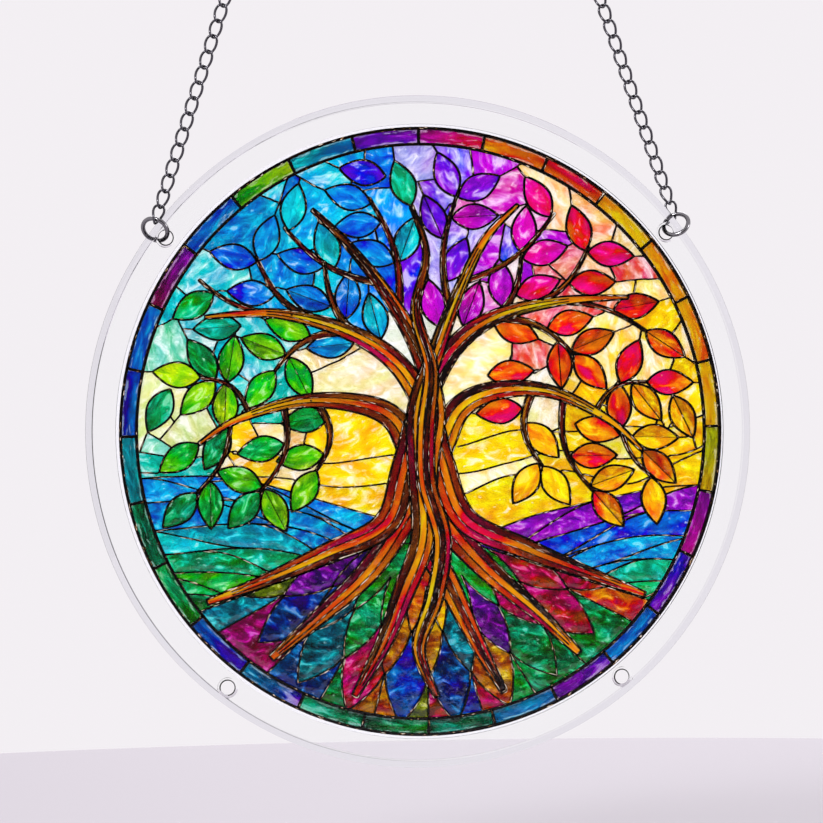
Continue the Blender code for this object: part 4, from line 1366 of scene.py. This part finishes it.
def chain_lean():
    """The chains' lean, settled together with where they bear on the jump rings."""
    lower = (JUMP_RING_WIRE + CHAIN_WIRE) / 2 + WIRE_GAP
    upper = (HANG_RING_WIRE + CHAIN_WIRE) / 2 + WIRE_GAP
    length = (LINK_COUNT - 1) * LINK_PITCH + 2 * LINK_HALF_LENGTH - lower - upper
    lean = math.radians(18)
    for _ in range(20):
        point = pull_on_ring(1, lean)[0]
        lean = math.asin(point.x / (math.sqrt(length**2 - point.y**2) + HANG_LOOP))
    return lean


RING_GAP = 0.10 * MM
RING_WIRE_STEPS = 96
CAP_WELD = 1e-7


def make_ring(name, node, centre, across, up, loop, wire, joint, finish):
    """A round wire ring with a fine butted joint at one angle."""
    curve = bpy.data.curves.new(name, "CURVE")
    curve.dimensions = "3D"
    curve.bevel_depth = wire / 2
    curve.bevel_resolution = 6
    curve.use_fill_caps = True
    curve.twist_mode = "MINIMUM"
    spline = curve.splines.new("POLY")
    spline.points.add(RING_WIRE_STEPS)
    gap = RING_GAP / loop
    for k, point in enumerate(spline.points):
        turn = joint + gap / 2 + (2 * math.pi - gap) * k / RING_WIRE_STEPS
        point.co = (loop * math.cos(turn), loop * math.sin(turn), 0, 1)
    axes = Matrix((across, up, across.cross(up))).transposed().to_4x4()
    ring = as_plain_mesh(new_object(name, curve), Matrix.Translation(centre) @ axes)
    bm = bmesh.new()
    bm.from_mesh(ring.data)
    bmesh.ops.remove_doubles(bm, verts=bm.verts, dist=CAP_WELD)
    bmesh.ops.recalc_face_normals(bm, faces=bm.faces)
    bm.to_mesh(ring.data)
    bm.free()
    ring.data.materials.clear()
    ring.data.materials.append(finish)
    return finish_piece(smooth_shaded(ring), "polished_steel", node)


def half_turn(angle):
    """The same line's angle, between -90 and 90 degrees."""
    return (angle + math.pi / 2) % math.pi - math.pi / 2


def link_turn(number, lower, upper):
    """How far a link is turned round the chain's line. The last few at each end turn to cross their ring."""
    from_top = LINK_COUNT - 1 - number
    if number < TURNING_LINKS:
        return lower * (1 - number / TURNING_LINKS)
    if from_top < TURNING_LINKS:
        return upper * (1 - from_top / TURNING_LINKS)
    return 0.0


def make_chain(name, node, side, lean, links, finish):
    """One length of curb chain, its links set along the line from the jump ring to the hanging ring."""
    pull, ring_wire = pull_on_ring(side, lean)
    low = DISC_CENTRE + pull
    high = HANG_CENTRE - Vector((-side * math.sin(lean), 0, math.cos(lean))) * HANG_LOOP
    along = (high - low).normalized()
    lateral = Vector((0, side, 0)).cross(along).normalized()
    normal = along.cross(lateral)
    place = Matrix.Translation(low) @ Matrix((along, lateral, normal)).transposed().to_4x4()
    ring_turn = math.atan2(ring_wire.dot(normal), ring_wire.dot(lateral))
    lower = half_turn(ring_turn + math.pi / 2 - END_TWIST)
    upper = half_turn(math.pi / 2 + END_TWIST)
    first = LINK_HALF_LENGTH - (JUMP_RING_WIRE + CHAIN_WIRE) / 2 - WIRE_GAP
    mesh = bpy.data.meshes.new(name)
    mesh.from_pydata([(first + number * LINK_PITCH, 0, 0) for number in range(LINK_COUNT)], [], [])
    turns = [link_turn(number, lower, upper) for number in range(LINK_COUNT)]
    mesh.attributes.new("turn", "FLOAT", "POINT").data.foreach_set("value", turns)
    chain = new_object(name, mesh)
    sizes = {
        "Half Length": LINK_HALF_LENGTH,
        "Half Width": LINK_HALF_WIDTH,
        "Twist": -LINK_HALF_WIDTH * math.tan(END_TWIST),
        "Wire Radius": CHAIN_WIRE / 2,
    }
    apply_tree(chain, links, {**sizes, "Material": finish})
    return finish_piece(as_plain_mesh(chain, place), "chain_steel", node)


# Floor, light and camera

PIXEL = 2 * DISC_RADIUS / 672
CAMERA_DISTANCE = 1.15
CAMERA_YAW = math.radians(-8.7)
CAMERA_ROLL = math.radians(1.0)
IMAGE_SIZE = 823
AIM_LEFT = 10 * PIXEL
AIM_UP = 20 * PIXEL
FLOOR_RADIUS = 0.60
BACKDROP = 0.93
EDGE_LIGHT = 0.02
THROUGH_LIGHT = 1.0
PANE_LIGHT = 1.68
CLEAR_SURFACES = 2
PANE_SURFACES = 4
DIM_LIGHT = 0.12
DIM_INNER = math.radians(18)
DIM_OUTER = math.radians(50)
FLOOR_DROP = 0.043


def make_floor():
    mesh = bpy.data.meshes.new("pale_floor")
    bm = bmesh.new()
    bmesh.ops.create_circle(bm, cap_ends=True, segments=128, radius=FLOOR_RADIUS)
    bm.to_mesh(mesh)
    bm.free()
    mesh.transform(Matrix.Translation((0, 0, DISC_LOW.z - FLOOR_DROP)))
    paper, _, _ = new_material("Matt pale paper", {"Base Color": (*linear("#b6b1b8"), 1), "Roughness": 0.8})
    mesh.materials.append(paper)
    new_object("pale_floor", mesh)


def make_world():
    """A pale room, dimmer straight before and behind the disc, which keeps gloss and steel deep.

    Light that was thrown about inside a clear edge is dimmed too, which draws the edges as fine lines, and
    light through the stained sheet and the disc together is brighter, as a lamp behind them makes it.
    """
    world = bpy.data.worlds.new("Pale room")
    bpy.context.scene.world = world
    world.use_nodes = True
    tree = world.node_tree
    tree.nodes.clear()
    way = add_node(tree, "ShaderNodeTexCoord").outputs["Generated"]
    ahead = add_node(tree, "ShaderNodeSeparateXYZ", {"Vector": way}).outputs["Y"]
    facing = add_node(tree, "ShaderNodeMath", {0: ahead}, operation="ABSOLUTE")
    outer, inner = math.cos(DIM_OUTER), math.cos(DIM_INNER)
    fade = {"Value": facing, "From Min": outer, "From Max": inner, "To Min": 1.0, "To Max": DIM_LIGHT}
    around = add_node(tree, "ShaderNodeMapRange", fade)
    rays = add_node(tree, "ShaderNodeLightPath").outputs
    passed = {"Value": rays["Transmission Depth"], "From Min": CLEAR_SURFACES, "From Max": PANE_SURFACES}
    passed.update({"To Min": THROUGH_LIGHT, "To Max": PANE_LIGHT})
    backlight = add_node(tree, "ShaderNodeMapRange", passed)
    thrown = {"Value": rays["Glossy Depth"], "To Min": backlight, "To Max": EDGE_LIGHT}
    through = add_node(tree, "ShaderNodeMapRange", thrown)
    bent = add_node(tree, "ShaderNodeMix", {0: rays["Is Transmission Ray"], "A": around, "B": through})
    strength = add_node(tree, "ShaderNodeMix", {0: rays["Is Camera Ray"], "A": bent, "B": BACKDROP})
    light = {"Color": (*linear("#fbf7fb"), 1), "Strength": strength}
    add_node(tree, "ShaderNodeOutputWorld", {"Surface": add_node(tree, "ShaderNodeBackground", light)})


def make_light(name, place, size, power):
    """A soft square light aimed at the disc, not seen through the clear edges, where it would glare."""
    lamp = bpy.data.lights.new(name, "AREA")
    lamp.shape = "SQUARE"
    lamp.size = size
    lamp.energy = power
    ob = new_object(name, lamp)
    ob.location = DISC_CENTRE + Vector(place)
    ob.rotation_euler = (-Vector(place)).to_track_quat("-Z", "Y").to_euler()
    ob.visible_transmission = False


def make_camera():
    data = bpy.data.cameras.new("camera")
    data.sensor_width = 36
    data.lens = 36 * CAMERA_DISTANCE / (IMAGE_SIZE * PIXEL)
    camera = new_object("camera", data)
    back = Vector((math.sin(CAMERA_YAW), -math.cos(CAMERA_YAW), 0))
    right = Vector((math.cos(CAMERA_YAW), math.sin(CAMERA_YAW), 0))
    aim = DISC_CENTRE - right * AIM_LEFT + Vector((0, 0, AIM_UP))
    camera.location = aim + back * CAMERA_DISTANCE
    level = (-back).to_track_quat("-Z", "Y").to_matrix().to_4x4()
    camera.matrix_world = Matrix.Translation(camera.location) @ level @ Matrix.Rotation(-CAMERA_ROLL, 4, "Z")
    bpy.context.scene.camera = camera


JUMP_RING_JOINT = 2.6
HANG_RING_JOINT = math.radians(20)
LIGHTS = [
    ("key light", (-0.7, -1.1, 0.8), 0.36, 14),
    ("fill light", (1.25, -0.55, 0.35), 0.5, 8),
    ("back light", (0.3, 1.2, 0.8), 0.8, 10),
]


def main():
    draw = random.Random(SEED)
    shapes = lay_out_shapes()
    lines = lay_out_lines(shapes, draw)
    panes = stained_glass("Rolled cathedral glass", 0.07, 0.8, 0.15, pale=0.30, deep=1.6, share=0.7)
    wood = stained_glass("Streaky amber and umber glass", 0.08, 0.65, 0.2, pale=0.42, deep=1.7, share=0.6)
    # The sheet's rim is given a grey, painted shade that tones down the light through it.
    rim = clear_acrylic("Sawn acrylic rim, painted grey shade", "#d9d9dd")
    make_sheet(cut_panes(lines, draw), shapes, draw, (panes, wood, rim))
    bars = bar_tree()
    # Two relief-line materials with painted glints, the second with longer and more of them.
    thin = lead_line("Black patina relief line with painted glints", 1.9 * MM, 0.625)
    long_glint_finish = lead_line("Relief line in black patina, long painted glints", 3.2 * MM, 0.575)
    make_lines(lines, bars, thin, long_glint_finish)
    make_border(bars, panes)
    polished = clear_acrylic("Polished cast acrylic", "#fdfefe")
    # The disc's edge is given a grey, painted shade that draws it as fine lines.
    make_disc(polished, clear_acrylic("Flame-polished acrylic edge, painted grey shade", "#ececf0"))
    ring_steel = gunmetal("Polished black-nickel wire", "#7c7a7e")
    chain_steel = gunmetal("Black-nickel curb chain", "#56545a")
    lean = chain_lean()
    links = link_tree()
    for side, word in ((-1, "left"), (1, "right")):
        radial, across, _ = jump_ring_axes(side)
        centre = DISC_CENTRE + radial * (HOLE_RADIUS + JUMP_LOOP)
        wire = (JUMP_LOOP, JUMP_RING_WIRE, JUMP_RING_JOINT, ring_steel)
        make_ring(f"ring_{word}", f"jump_ring_{word}", centre, radial, across, *wire)
        make_chain(f"links_{word}", f"chain_{word}", side, lean, links, chain_steel)
    wire = (HANG_LOOP, HANG_RING_WIRE, HANG_RING_JOINT, ring_steel)
    make_ring("hook_ring", "hanging_ring", HANG_CENTRE, Vector((1, 0, 0)), Vector((0, 0, 1)), *wire)
    make_floor()
    make_world()
    for light in LIGHTS:
        make_light(*light)
    bpy.context.scene.view_settings.view_transform = "Standard"
    make_camera()


main()
